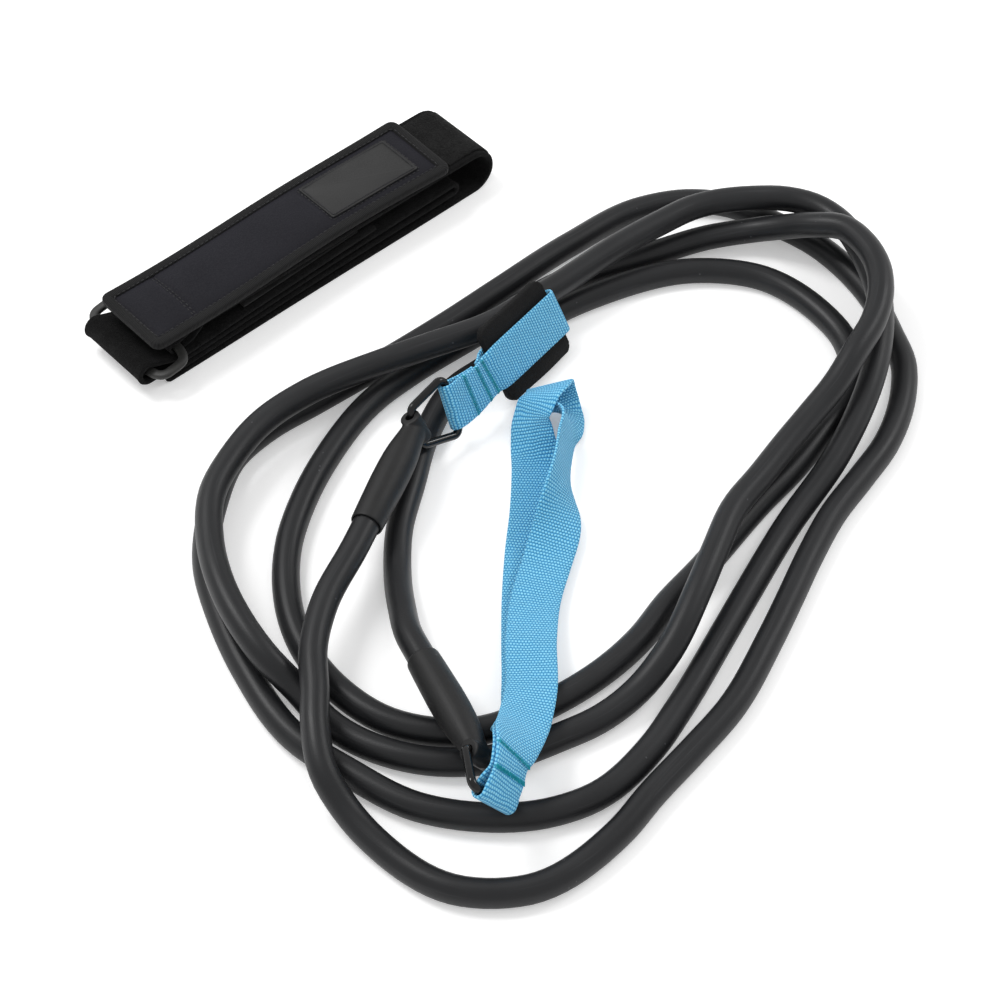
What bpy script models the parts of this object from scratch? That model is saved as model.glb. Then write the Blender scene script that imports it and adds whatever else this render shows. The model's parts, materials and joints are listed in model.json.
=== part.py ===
"""A stationary swim tether: a long rubber tube in loose turns, a webbing loop on a wire ring at each
end of it, and a folded waist belt. Metres, +Z up, standing on z = 0."""

import math

import bmesh
import bpy
import numpy as np
from mathutils import Matrix, Vector

# One gap for all pieces that touch, and one overrun for all cuts
SEAT_GAP = 0.0003
CUT_OVERRUN = 0.002

# Rubber tube
TUBE_DIAMETER = 0.014
TUBE_BORE = 0.0076
TUBE_CLEARANCE = 0.001
TUBE_STEP = 0.02
TUBE_CURVE_STEP = 0.004
TUBE_FLAT_SHARE = 0.1
TUBE_PITCH = TUBE_DIAMETER + TUBE_CLEARANCE
TUBE_REST = TUBE_DIAMETER / 2 - TUBE_FLAT_SHARE * TUBE_DIAMETER

# The tube's route over the floor, from sleeve A to sleeve B: x, y, and how many strands lie under it
TUBE_ROUTE = (
    (-0.085, -0.085, 1.2), (-0.089, -0.113, 1.2), (-0.087, -0.136, 1.2), (-0.086, -0.156, 1.15),
    (-0.081, -0.179, 0.85), (-0.071, -0.193, 0.3), (-0.056, -0.209, 0.0), (-0.021, -0.233, 0.0),
    (0.013, -0.233, 0.0), (0.055, -0.202, 0.0), (0.070, -0.182, 0.0), (0.090, -0.158, 0.0),
    (0.109, -0.134, 0.0), (0.131, -0.092, 0.0), (0.142, -0.068, 0.0), (0.154, -0.041, 0.0),
    (0.168, -0.0135, 0.0), (0.185, 0.0115, 0.0), (0.199, 0.033, 0.0), (0.212, 0.070, 0.0),
    (0.214, 0.089, 0.0), (0.209, 0.113, 0.0), (0.202, 0.138, 0.0), (0.188, 0.164, 0.0),
    (0.174, 0.181, 0.0), (0.153, 0.197, 0.0), (0.128, 0.212, 0.0), (0.104, 0.215, 0.0),
    (0.079, 0.209, 0.0), (0.038, 0.180, 0.0), (-0.002, 0.144, 0.0), (-0.027, 0.121, 0.0),
    (-0.067, 0.087, 0.0), (-0.097, 0.063, 0.0), (-0.121, 0.044, 0.0), (-0.137, 0.024, 0.0),
    (-0.145, -0.006, 0.0), (-0.146, -0.047, 0.0), (-0.137, -0.078, 0.0), (-0.123, -0.110, 0.0),
    (-0.095, -0.152, 0.0), (-0.072, -0.169, 0.0), (-0.038, -0.189, 0.0), (-0.015, -0.194, 0.0),
    (0.023, -0.192, 0.0), (0.043, -0.184, 0.0), (0.071, -0.156, 0.0), (0.084, -0.135, 0.0),
    (0.109, -0.088, 0.0), (0.122, -0.063, 0.0), (0.144, -0.022, 0.0), (0.173, 0.022, 0.4),
    (0.184, 0.043, 0.7), (0.193, 0.065, 1.0), (0.199, 0.088, 1.1), (0.202, 0.130, 1.1),
    (0.196, 0.156, 1.2), (0.186, 0.180, 1.2), (0.174, 0.192, 1.2), (0.158, 0.198, 1.2),
    (0.142, 0.197, 1.3), (0.107, 0.190, 1.3), (0.087, 0.177, 1.3), (0.067, 0.162, 1.3),
    (0.029, 0.1295, 1.2), (0.013, 0.1165, 1.2), (0.000, 0.1055, 1.2), (-0.040, 0.085, 1.2),
    (-0.061, 0.075, 1.2), (-0.102, 0.053, 1.1), (-0.122, 0.034, 1.1), (-0.136, 0.010, 1.1),
    (-0.144, -0.013, 1.1), (-0.143, -0.044, 1.1), (-0.137, -0.068, 1.2), (-0.126, -0.093, 1.2),
    (-0.111, -0.114, 0.9), (-0.097, -0.125, 0.3), (-0.082, -0.141, 0.0), (-0.042, -0.162, 0.0),
    (-0.001, -0.162, 0.0), (0.028, -0.150, 0.0), (0.048, -0.139, 0.0), (0.067, -0.123, 0.2),
    (0.079, -0.109, 0.6), (0.097, -0.072, 1.1), (0.105, -0.051, 1.1), (0.117, -0.022, 1.1),
    (0.131, -0.002, 1.1), (0.145, 0.018, 1.2), (0.159, 0.036, 1.4), (0.172, 0.052, 1.7),
    (0.184, 0.071, 2.1), (0.194, 0.089, 2.2), (0.200, 0.110, 2.3), (0.200, 0.130, 2.3),
    (0.194, 0.149, 2.2), (0.185, 0.163, 2.0), (0.170, 0.171, 1.6), (0.157, 0.179, 1.0),
    (0.137, 0.185, 0.4), (0.115, 0.183, 0.2), (0.086, 0.174, 0.0), (0.028, 0.147, 0.0),
    (0.008, 0.131, 0.0), (-0.011, 0.114, 0.0), (-0.047, 0.084, 0.0), (-0.065, 0.066, 0.0),
    (-0.089, 0.025, 0.0), (-0.100, -0.005, 0.0), (-0.106, -0.035, 0.0), (-0.106, -0.057, 0.0),
    (-0.097, -0.094, 0.0), (-0.074, -0.126, 0.0), (-0.055, -0.140, 0.0), (-0.014, -0.147, 0.0),
    (0.028, -0.128, 0.0), (0.048, -0.113, 0.0), (0.068, -0.092, 0.0), (0.082, -0.071, 0.0),
    (0.099, -0.050, 0.0), (0.133, -0.004, 0.0), (0.148, 0.014, 0.0), (0.164, 0.037, 0.0),
    (0.185, 0.073, 0.0), (0.184, 0.108, 0.0), (0.173, 0.128, 0.0), (0.144, 0.154, 0.0),
    (0.107, 0.160, 0.0), (0.056, 0.1435, 0.0), (0.011, 0.112, 0.0), (-0.006, 0.089, 0.0),
    (-0.024, 0.072, 0.0), (-0.038, 0.041, 0.0), (-0.045, 0.007, 0.0), (-0.051, -0.026, 0.0),
    (-0.051, -0.052, 0.0), (-0.048, -0.078, 0.4),
)

# End sleeves: moulded boots over the tube's ends, measured from the ring's pin to the mouth
SLEEVE_LENGTH = 0.067
SLEEVE_SOCKET = 0.040
SLEEVE_RADIUS = 0.0092
SLEEVE_MOUTH_RADIUS = 0.0082
SLEEVE_NOSE_REACH = 0.0055
SLEEVE_NOSE_THICKNESS = 0.0088
SLEEVE_NOSE_HEIGHT = 0.0128
SLEEVE_SIDES = 24
# Along from the pin to the mouth, how far the flattened nose has grown round, and the size there
SLEEVE_SECTION_SHARES = (
    (0.0, 0.0, 1.0), (0.06, 0.0, 1.0), (0.14, 0.35, 1.0), (0.24, 0.8, 1.0), (0.34, 1.0, 1.0),
    (0.62, 1.0, 1.0), (0.7, 1.0, 0.97), (0.9, 1.0, 0.93), (1.0, 1.0, 0.891),
)
SLEEVE_A_EYE = Vector((-0.043, 0.027, 0.0255))
SLEEVE_A_TO_MOUTH = Vector((-0.023, -0.062, -0.0015))
SLEEVE_B_EYE = Vector((-0.010, -0.177, 0.030))
SLEEVE_B_TO_MOUTH = Vector((-0.029, 0.066, -0.010))

# Plugs: hard plastic, pressed into the tube's bore, with a flange behind its end
PLUG_STEM = 0.016
PLUG_FLANGE = 0.003
PLUG_SIDES = 24

# Wire rings: a bent wire, narrow at the pin in the sleeve's nose and wide at the webbing
WIRE_DIAMETER = 0.0044
RING_PIN_WIDTH = 0.021
RING_BAR_WIDTH = 0.033
RING_HEIGHT = 0.025
RING_CORNER = 0.003
RING_CORNER_STEPS = 4
RING_A_TO_BAR = Vector((0.0150, 0.0146, -0.002))
RING_A_BAR = Vector((0.36, -0.30, -0.88))
RING_B_TO_BAR = Vector((0.0076, -0.025, 0.001))
RING_B_BAR = Vector((0.60, 0.10, -0.79))

# Webbing of both loops
WEBBING_WIDTH = 0.025
WEBBING_THICKNESS = 0.0016
WEBBING_STEP = 0.004
WEBBING_STRAIGHT = 0.004
FOLD_STEPS = 8
WRAP_RADIUS = WIRE_DIAMETER / 2 + SEAT_GAP + WEBBING_THICKNESS / 2
SEAM_GAP = 0.0008
SEAM_OFFSET = (WEBBING_THICKNESS + SEAM_GAP) / 2
TACK_SEAT = 0.0005
SEAM_BUTT_GAP = 0.001

# Bar tacks: rows of thread across the webbing
TACK_LENGTH = 0.0235
TACK_WIDTH = 0.0022
TACK_HEIGHT = 0.0006

# Foam pad held in loop A
PAD_LENGTH = 0.052
PAD_WIDTH = 0.046
PAD_THICKNESS = 0.004
PAD_CORNER = 0.006
PAD_CENTRE = Vector((0.0124, 0.0909, 0.0225))
PAD_ALONG = Vector((0.618, 0.787, 0.0))
PAD_UP = Vector((-0.33, 0.40, 0.857))

# Loop A runs from the ring's bar, through the seam, round the pad
LOOP_A_SEAM = ((-0.0155, 0.0532, 0.0228), (-0.0090, 0.0615, 0.0226))
LOOP_A_TACKS = (0.0115, 0.0205, 0.0275)
LOOP_A_BUTT_SHARE = 0.6

# Loop B: x, y, z, then the tilt of the webbing's right edge below level and the turn of its width
# from the x axis, both in degrees: first the front leg, then the top fold, then the rear leg
LOOP_B_FRONT = (
    (0.0020, -0.1935, 0.0350, 50.0, 9.0), (0.0046, -0.1825, 0.0370, 46.0, 4.0),
    (0.0068, -0.1720, 0.0336, 38.0, 0.0), (0.0102, -0.1580, 0.0265, 20.0, -6.0),
    (0.0144, -0.1317, 0.0190, 0.0, -4.0), (0.0147, -0.0985, 0.0135, 0.0, 0.0),
    (0.0174, -0.0688, 0.0075, 0.0, -9.0), (0.0237, -0.0427, 0.0062, 2.0, -14.0),
    (0.0285, -0.0248, 0.0098, 20.0, -12.0), (0.0302, -0.0089, 0.0142, 50.0, -8.0),
    (0.0312, 0.0068, 0.0155, 70.0, -4.0), (0.0330, 0.0240, 0.0152, 74.0, -2.0),
    (0.0354, 0.0400, 0.0140, 70.0, 0.0), (0.0338, 0.0500, 0.0094, 42.0, 4.0),
    (0.0296, 0.0602, 0.0048, -6.0, 7.0),
)
LOOP_B_TOP = (0.0266, 0.0680, 0.0112, -12.0, 7.0)
LOOP_B_TURN = (-0.15, 0.0, 1.0)
LOOP_B_REAR = (
    (0.0243, 0.0602, 0.0182, -16.0, 7.0), (0.0195, 0.0520, 0.0190, -30.0, 5.0),
    (0.0160, 0.0450, 0.0142, -47.0, 3.0), (0.0165, 0.0365, 0.0078, -32.0, 0.0),
    (0.0180, 0.0265, 0.0020, -3.0, -3.0), (0.0180, 0.0100, 0.0013, 0.0, -5.0),
    (0.0170, -0.0100, 0.0013, 0.0, -5.0),
    (0.0148, -0.0332, 0.0013, 0.0, -4.0), (0.0131, -0.0649, 0.0026, 0.0, -2.0),
    (0.0128, -0.0948, 0.0090, 0.0, 0.0), (0.0128, -0.1296, 0.0154, 0.0, 0.0),
    (0.0122, -0.1440, 0.0158, 10.0, -5.0),
)
LOOP_B_TACKS = (0.011, 0.021)
LOOP_B_SEAM_STEPS = 2
LOOP_B_FOLLOW = 0.012

# Belt, in its own frame: x along it from the pad's left end, z up from the floor
BELT_PLACE = Vector((-0.1963, 0.0966, 0.0))
BELT_HEADING = math.radians(42.3)
BELT_WIDTH = 0.050
STRAP_THICKNESS = 0.0024
STRAP_END = 0.008
STRAP_RIGHT = 0.224
STRAP_INNER_RIGHT = 0.208
STRAP_FREE_END = 0.150
STRAP_LEVELS = (0.0012, 0.0048, 0.0084, 0.0120)
STRAP_FAN = (0.0, 0.0024, 0.0050, 0.0074)
STRAP_TOP_LEVEL = 0.0255
STRAP_LOW_FOLD = 0.007
STRAP_SLIDE_FOLD = -0.0055
STRAP_CURVE_STEP = 0.02

# Oval slide, tilted so that its left rail sits in the strap's fold
SLIDE_LENGTH = 0.068
SLIDE_DEPTH = 0.027
SLIDE_RAIL = 0.005
SLIDE_THICKNESS = 0.0032
SLIDE_SLOT_LENGTH = 0.0545
SLIDE_SIDES = 48
SLIDE_SQUARENESS_SHARE = 0.5
SLOT_SQUARENESS_SHARE = 0.25
SLIDE_LEFT_LEVEL = 0.0140
SLIDE_RIGHT_LEVEL = 0.0169

# Tab that holds the slide
TAB_WIDTH = 0.042
TAB_THICKNESS = 0.0012
TAB_REACH = 0.042
TAB_SLACK = 0.0006

# Belt pad: the smooth panel sewn on the strap, with its bound edge
BELT_PAD_LENGTH = 0.205
BELT_PAD_THICKNESS = 0.0042
BINDING_WIDTH = 0.0052
BINDING_THICKNESS = 0.0050
BELT_PAD_CORNER = 0.004
CORNER_STEPS = 4

# Bare patch with its own border of stitching, and the row of stitching near the other end
PATCH_LENGTH = 0.060
PATCH_WIDTH = 0.030
PATCH_THICKNESS = 0.0008
PATCH_END_GAP = 0.010
PATCH_STITCH_WIDTH = 0.0012
PATCH_STITCH_HEIGHT = 0.0008
ROW_STITCH_LENGTH = 0.034
ROW_STITCH_WIDTH = 0.0018
ROW_STITCH_PLACE = 0.030

# Hook strip and loop strip, on the strap's inner runs
CLOSURE_THICKNESS = 0.0012
CLOSURE_WIDTH = 0.044
HOOK_START = 0.060
HOOK_LENGTH = 0.080
LOOP_STRIP_START = 0.050
LOOP_STRIP_LENGTH = 0.140


def clear_scene():
    for item in list(bpy.data.objects):
        bpy.data.objects.remove(item, do_unlink=True)


def material(name, colour, roughness, metallic=0.0):
    made = bpy.data.materials.new(name)
    made.use_nodes = True
    shader = made.node_tree.nodes["Principled BSDF"]
    shader.inputs["Base Color"].default_value = (*colour, 1.0)
    shader.inputs["Roughness"].default_value = roughness
    shader.inputs["Metallic"].default_value = metallic
    return made


def pivot(name, matrix, parent):
    """An empty that a group of pieces hangs on, on the axis that the group turns about."""
    empty = bpy.data.objects.new(name, None)
    bpy.context.scene.collection.objects.link(empty)
    empty.parent = parent
    bpy.context.view_layer.update()
    empty.matrix_world = matrix
    bpy.context.view_layer.update()
    return empty


def finish_mesh(name, form, surface, parent, smooth=True):
    """Makes an object from a bmesh whose points are in the tether's frame."""
    bmesh.ops.recalc_face_normals(form, faces=form.faces)
    mesh = bpy.data.meshes.new(name)
    form.to_mesh(mesh)
    form.free()
    mesh.transform(parent.matrix_world.inverted())
    mesh.materials.append(surface)
    if smooth:
        mesh.shade_smooth()
        mesh.set_sharp_from_angle(angle=math.radians(35))
    made = bpy.data.objects.new(name, mesh)
    bpy.context.scene.collection.objects.link(made)
    made.parent = parent
    return made


def frame_from(x_axis, y_hint, origin):
    """A matrix whose x points along x_axis and whose y is as near y_hint as it can be."""
    x = Vector(x_axis).normalized()
    y = Vector(y_hint) - x * Vector(y_hint).dot(x)
    y.normalize()
    z = x.cross(y)
    turn = Matrix((x, y, z)).transposed().to_4x4()
    return Matrix.Translation(origin) @ turn


def bridged(form, rings, close_ends=True):
    """Joins rings of equally many points with quads, and closes the two ends."""
    rows = [[form.verts.new(point) for point in ring] for ring in rings]
    count = len(rows[0])
    for low, high in zip(rows, rows[1:]):
        for i in range(count):
            j = (i + 1) % count
            form.faces.new((low[i], low[j], high[j], high[i]))
    if close_ends:
        form.faces.new(rows[0][::-1])
        form.faces.new(rows[-1])
    return rows


def hide_cutter(cutter):
    cutter.hide_render = True
    cutter.display_type = "WIRE"


def cut(piece, cutter):
    """Takes a cutter's shape out of a piece."""
    hide_cutter(cutter)
    bite = piece.modifiers.new("cut " + cutter.name, "BOOLEAN")
    bite.operation = "DIFFERENCE"
    bite.solver = "EXACT"
    bite.object = cutter


def circle(centre, x_axis, y_axis, radius, sides):
    points = []
    for i in range(sides):
        turn = 2 * math.pi * i / sides
        points.append(centre + x_axis * radius * math.cos(turn) + y_axis * radius * math.sin(turn))
    return points


def rod(name, start, end, radii, sides, surface, parent):
    """A turned rod from start to end: radii are pairs of a place along it and the radius there."""
    along = (end - start).normalized()
    side = along.orthogonal().normalized()
    up = along.cross(side)
    form = bmesh.new()
    bridged(form, [circle(start + along * place, side, up, radius, sides) for place, radius in radii])
    return finish_mesh(name, form, surface, parent)


def smooth_curve(points, headings, step=TUBE_CURVE_STEP):
    """A smooth curve through points of any size, as closely spaced points. Headings gives the way
    of the curve at some of them, by their number."""
    points = np.array(points, float)
    runs = np.linalg.norm(np.diff(points[:, :3], axis=0), axis=1)
    slopes = np.diff(points, axis=0) / runs[:, None]
    tangents = np.empty_like(points)
    tangents[0], tangents[-1] = slopes[0], slopes[-1]
    before, after = runs[:-1, None], runs[1:, None]
    tangents[1:-1] = (slopes[:-1] * after + slopes[1:] * before) / (before + after)
    for number, heading in headings.items():
        tangents[number] = heading
    made = []
    for i, run in enumerate(runs):
        count = max(2, int(math.ceil(run / step)))
        for share in np.arange(count) / count:
            a = 2 * share**3 - 3 * share**2 + 1
            b = share**3 - 2 * share**2 + share
            c = 3 * share**2 - 2 * share**3
            d = share**3 - share**2
            here = a * points[i] + b * run * tangents[i]
            made.append(here + c * points[i + 1] + d * run * tangents[i + 1])
    made.append(points[-1])
    return np.array(made)


def evenly(points, step):
    """The same path with its points a step apart."""
    runs = np.linalg.norm(np.diff(points[:, :3], axis=0), axis=1)
    places = np.concatenate([[0.0], np.cumsum(runs)])
    wanted = np.linspace(0.0, places[-1], int(round(places[-1] / step)) + 1)
    return np.stack([np.interp(wanted, places, points[:, k]) for k in range(points.shape[1])], axis=1)


def least_gap(points):
    """The least gap between two stretches of the tube more than three diameters apart along it."""
    dense = evenly(points, TUBE_CLEARANCE * 2)
    near = int(3 * TUBE_DIAMETER / (TUBE_CLEARANCE * 2))
    least = math.inf
    for i in range(len(dense) - near):
        apart = np.linalg.norm(dense[i + near:] - dense[i], axis=1).min()
        least = min(least, apart)
    return least - TUBE_DIAMETER


def sleeve_axis(eye, to_mouth):
    """The mouth of a sleeve, where the tube's end sits in it, and the way out of it."""
    out = to_mouth.normalized()
    mouth = eye + out * SLEEVE_LENGTH
    tube_end = mouth - out * (SLEEVE_SOCKET - PLUG_FLANGE - SEAT_GAP)
    return mouth, tube_end, out


def tube_points():
    """The tube's whole centreline, from its end in sleeve A to its end in sleeve B."""
    mouth_a, end_a, out_a = sleeve_axis(SLEEVE_A_EYE, SLEEVE_A_TO_MOUTH)
    mouth_b, end_b, out_b = sleeve_axis(SLEEVE_B_EYE, SLEEVE_B_TO_MOUTH)
    route = [(x, y, TUBE_REST + level * TUBE_PITCH) for x, y, level in TUBE_ROUTE]
    straight_a = mouth_a + out_a * TUBE_DIAMETER
    straight_b = mouth_b + out_b * TUBE_DIAMETER
    points = [tuple(end_a), tuple(straight_a), *route, tuple(straight_b), tuple(end_b)]
    start, end = tuple(out_a), tuple(-out_b)
    return smooth_curve(points, {0: start, 1: start, -1: end, -2: end})


def rubber_tube(surface, parent):
    centreline = tube_points()
    route = evenly(centreline, TUBE_STEP)
    print("tube length", round(float(np.linalg.norm(np.diff(centreline, axis=0), axis=1).sum()), 4))
    print("least gap of the tube to itself", round(float(least_gap(route)) * 1000, 2), "mm")
    path = bpy.data.curves.new("rubber_tube", "CURVE")
    path.dimensions = "3D"
    spline = path.splines.new("POLY")
    spline.points.add(len(route) - 1)
    for point, place in zip(spline.points, route):
        point.co = (*place, 1.0)
    path.bevel_depth = TUBE_DIAMETER / 2
    path.bevel_resolution = 1
    path.use_fill_caps = True
    path.twist_mode = "Z_UP"
    path.materials.append(surface)
    tube = bpy.data.objects.new("rubber_tube", path)
    bpy.context.scene.collection.objects.link(tube)
    tube.parent = parent
    return tube, route


def floor_cutter(points, parent):
    """A slab under the floor, wide enough to cut the tube flat where it rests."""
    reach = float(np.abs(points[:, :2]).max()) + TUBE_DIAMETER
    form = bmesh.new()
    bmesh.ops.create_cube(form, size=2 * reach)
    bmesh.ops.translate(form, verts=form.verts, vec=(0.0, 0.0, -reach))
    return finish_mesh("floor_cutter", form, material("cutter", (1.0, 0.0, 0.0), 0.5), parent, False)


def sleeve_section(frame, place, round_share, size_share):
    """One oval ring of the sleeve's outside: flat across the pin at the nose, round at the tube."""
    radius = SLEEVE_RADIUS * size_share
    half_height = SLEEVE_NOSE_HEIGHT / 2 + (radius - SLEEVE_NOSE_HEIGHT / 2) * round_share
    half_thickness = SLEEVE_NOSE_THICKNESS / 2 + (radius - SLEEVE_NOSE_THICKNESS / 2) * round_share
    ring = []
    for i in range(SLEEVE_SIDES):
        turn = 2 * math.pi * i / SLEEVE_SIDES
        ring.append(frame @ Vector((place, half_height * math.cos(turn), half_thickness * math.sin(turn))))
    return ring


def sleeve(name, frame, pin_way, surface, parent):
    """A moulded boot: its flat nose carries the ring's pin, its socket holds the plug and the tube."""
    form = bmesh.new()
    rings = []
    for turn_share in (0.12, 0.45, 0.8):
        shrink = math.sin(turn_share * math.pi / 2)
        place = -SLEEVE_NOSE_REACH * math.cos(turn_share * math.pi / 2)
        ring = sleeve_section(frame, place, 0.0, 1.0)
        centre = frame @ Vector((place, 0.0, 0.0))
        rings.append([centre + (point - centre) * shrink for point in ring])
    for place_share, round_share, size_share in SLEEVE_SECTION_SHARES:
        rings.append(sleeve_section(frame, place_share * SLEEVE_LENGTH, round_share, size_share))
    bridged(form, rings)
    body = finish_mesh(name, form, surface, parent)
    mouth = frame @ Vector((SLEEVE_LENGTH + CUT_OVERRUN, 0.0, 0.0))
    bottom = frame @ Vector((SLEEVE_LENGTH - SLEEVE_SOCKET, 0.0, 0.0))
    radius = TUBE_DIAMETER / 2 + SEAT_GAP
    walls = ((0.0, radius), ((mouth - bottom).length, radius))
    cut(body, rod(name + "_socket", bottom, mouth, walls, PLUG_SIDES, surface, parent))
    half = SLEEVE_NOSE_HEIGHT / 2 + CUT_OVERRUN
    low, high = frame.translation - pin_way * half, frame.translation + pin_way * half
    bore = WIRE_DIAMETER / 2 + SEAT_GAP
    walls = ((0.0, bore), (2 * half, bore))
    cut(body, rod(name + "_pin_bore", low, high, walls, PLUG_SIDES, surface, parent))
    return body


def plug(name, tube_end, out, surface, parent):
    """A stem in the tube's bore and a flange between the tube's end and the socket's bottom."""
    start = tube_end - out * (PLUG_FLANGE - SEAT_GAP)
    end = tube_end + out * PLUG_STEM
    flange = TUBE_DIAMETER / 2
    stem = TUBE_BORE / 2 - SEAT_GAP
    seat = PLUG_FLANGE - 2 * SEAT_GAP
    taper = stem / 2
    radii = ((0.0, flange), (seat, flange), (seat + SEAT_GAP / 10, stem))
    tip = (end - start).length
    radii = (*radii, (tip - taper, stem), (tip, taper))
    return rod(name, start, end, radii, PLUG_SIDES, surface, parent)


def bore_cutter(name, tube_end, out, surface, parent):
    depth = PLUG_STEM + SEAT_GAP
    radius = TUBE_BORE / 2
    start = tube_end - out * CUT_OVERRUN
    end = tube_end + out * depth
    walls = ((0.0, radius), (depth + CUT_OVERRUN, radius))
    return rod(name, start, end, walls, PLUG_SIDES, surface, parent)


def ring_outline():
    """The wire's centreline in the ring's own plane: x from the pin to the bar, y along both."""
    pin, bar = RING_PIN_WIDTH / 2, RING_BAR_WIDTH / 2
    corners = [(0.0, -pin), (RING_HEIGHT, -bar), (RING_HEIGHT, bar), (0.0, pin)]
    points = []
    for i, corner in enumerate(corners):
        here = np.array(corner)
        back = np.array(corners[i - 1]) - here
        ahead = np.array(corners[(i + 1) % len(corners)]) - here
        back /= np.linalg.norm(back)
        ahead /= np.linalg.norm(ahead)
        half_angle = math.acos(float(back @ ahead)) / 2
        reach = RING_CORNER / math.tan(half_angle)
        centre = here + (back + ahead) / np.linalg.norm(back + ahead) * RING_CORNER / math.sin(half_angle)
        start, end = here + back * reach - centre, here + ahead * reach - centre
        sweep = math.pi - 2 * half_angle
        for k in range(RING_CORNER_STEPS + 1):
            share = k / RING_CORNER_STEPS
            near = math.sin((1 - share) * sweep) / math.sin(sweep)
            far = math.sin(share * sweep) / math.sin(sweep)
            points.append(centre + start * near + end * far)
    return points


def wire_ring(name, frame, surface, parent):
    """The bent wire as a closed run of rings round its centreline."""
    outline = [frame @ Vector((x, y, 0.0)) for x, y in ring_outline()]
    normal = (frame @ Vector((0.0, 0.0, 1.0)) - frame.translation).normalized()
    form = bmesh.new()
    rings = []
    for i, point in enumerate(outline):
        ahead = outline[(i + 1) % len(outline)] - outline[i - 1]
        side = ahead.normalized().cross(normal)
        rings.append(circle(point, side, normal, WIRE_DIAMETER / 2, 10))
    rows = bridged(form, rings, close_ends=False)
    last, first = rows[-1], rows[0]
    for i in range(len(first)):
        j = (i + 1) % len(first)
        form.faces.new((last[i], last[j], first[j], first[i]))
    return finish_mesh(name, form, surface, parent)


def ribbon(name, centres, across, width, thickness, surface, parent, cells=1):
    """A flat strip along centres; across gives the way of its width at each of them. A strip that
    twists is split into cells over its width, so that its two faces stay the same way apart."""
    centres = [Vector(point) for point in centres]
    form = bmesh.new()
    rings = []
    for i, centre in enumerate(centres):
        ahead = centres[min(i + 1, len(centres) - 1)] - centres[max(i - 1, 0)]
        ahead.normalize()
        side = Vector(across[i])
        side -= ahead * side.dot(ahead)
        side.normalize()
        face = ahead.cross(side)
        half_height = face * thickness / 2
        over = [centre + side * width * (k / cells - 1 / 2) for k in range(cells + 1)]
        rings.append([point - half_height for point in over] + [point + half_height for point in over[::-1]])
    bridged(form, rings)
    return finish_mesh(name, form, surface, parent)


def path_frames(points, sides):
    """The way ahead, the squared-up way of the width and the face of a strip, at each of its points."""
    aheads, squared, faces = [], [], []
    for i, side in enumerate(sides):
        ahead = (points[min(i + 1, len(points) - 1)] - points[max(i - 1, 0)]).normalized()
        side = (side - ahead * side.dot(ahead)).normalized()
        aheads.append(ahead)
        squared.append(side)
        faces.append(side.cross(ahead))
    return aheads, squared, faces


def tack(name, leg, sides, number, surface, parent):
    """One row of thread across a leg of webbing, on the face that looks out of the loop."""
    aheads, squared, faces = path_frames(leg[number - 1:number + 2], sides[number - 1:number + 2])
    ahead, side, face = aheads[1], squared[1], faces[1]
    centre = leg[number] + face * (WEBBING_THICKNESS / 2 + TACK_SEAT + TACK_HEIGHT / 2)
    half = ahead * TACK_WIDTH / 2
    share = TACK_WIDTH / 2 / (leg[number + 1] - leg[number]).length
    ends = (side.lerp(squared[0], share), side.lerp(squared[2], share))
    return ribbon(name, (centre - half, centre + half), ends, TACK_LENGTH, TACK_HEIGHT, surface, parent, 2)


def first_run(bar, bar_way, station):
    """A straight first run off the bar, square to it, toward the next station."""
    toward = Vector(station[:3]) - bar
    heading = (toward - bar_way * toward.dot(bar_way)).normalized()
    return heading, bar + heading * WEBBING_STRAIGHT


def round_bar(bar, ahead, face):
    """The webbing's half turn round the ring's bar, from the rear leg's side to the front leg's."""
    points = []
    for k in range(1, FOLD_STEPS):
        turn = math.pi * k / FOLD_STEPS
        points.append(bar - face * WRAP_RADIUS * math.cos(turn) - ahead * WRAP_RADIUS * math.sin(turn))
    return points


def loop_a_spine(bar, bar_way, pad_frame):
    """The line midway between loop A's two legs, and the way of the webbing's width along it."""
    left = pad_frame @ Vector((-PAD_LENGTH / 2, 0.0, 0.0))
    right = pad_frame @ Vector((PAD_LENGTH / 2, 0.0, 0.0))
    heading, first = first_run(bar, bar_way, LOOP_A_SEAM[0])
    along = tuple(PAD_ALONG.normalized())
    stations = [tuple(bar), tuple(first), *LOOP_A_SEAM, tuple(left), tuple(right)]
    headings = {0: tuple(heading), 1: tuple(heading), -2: along, -1: along}
    spine = evenly(smooth_curve(stations, headings, WEBBING_STEP / 2), WEBBING_STEP / 2)
    upward = pad_frame.to_3x3() @ Vector((0.0, 1.0, 0.0))
    runs = np.linalg.norm(np.diff(spine, axis=0), axis=1)
    places = np.concatenate([[0.0], np.cumsum(runs)])
    seam = places[-1] - PAD_LENGTH
    across = []
    for place in places:
        share = min(1.0, max(0.0, (place - WEBBING_STRAIGHT) / (seam - WEBBING_STRAIGHT)))
        across.append((-bar_way).lerp(upward, share).normalized())
    return [Vector(point) for point in spine], across, places


def leg_offset(place, seam, pad_offset):
    """How far a leg of loop A lies from the spine, from the bar, through the seam, to the pad."""
    if place < seam:
        share = min(1.0, place / (4 * WRAP_RADIUS))
        ease = share * share * (3 - 2 * share)
        near_pad = max(0.0, 1 - (seam - place) / (2 * pad_offset))
        rise = near_pad * near_pad * (3 - 2 * near_pad)
        start = WRAP_RADIUS + (SEAM_OFFSET - WRAP_RADIUS) * ease
        return start + (pad_offset - start) * rise
    return pad_offset


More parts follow.
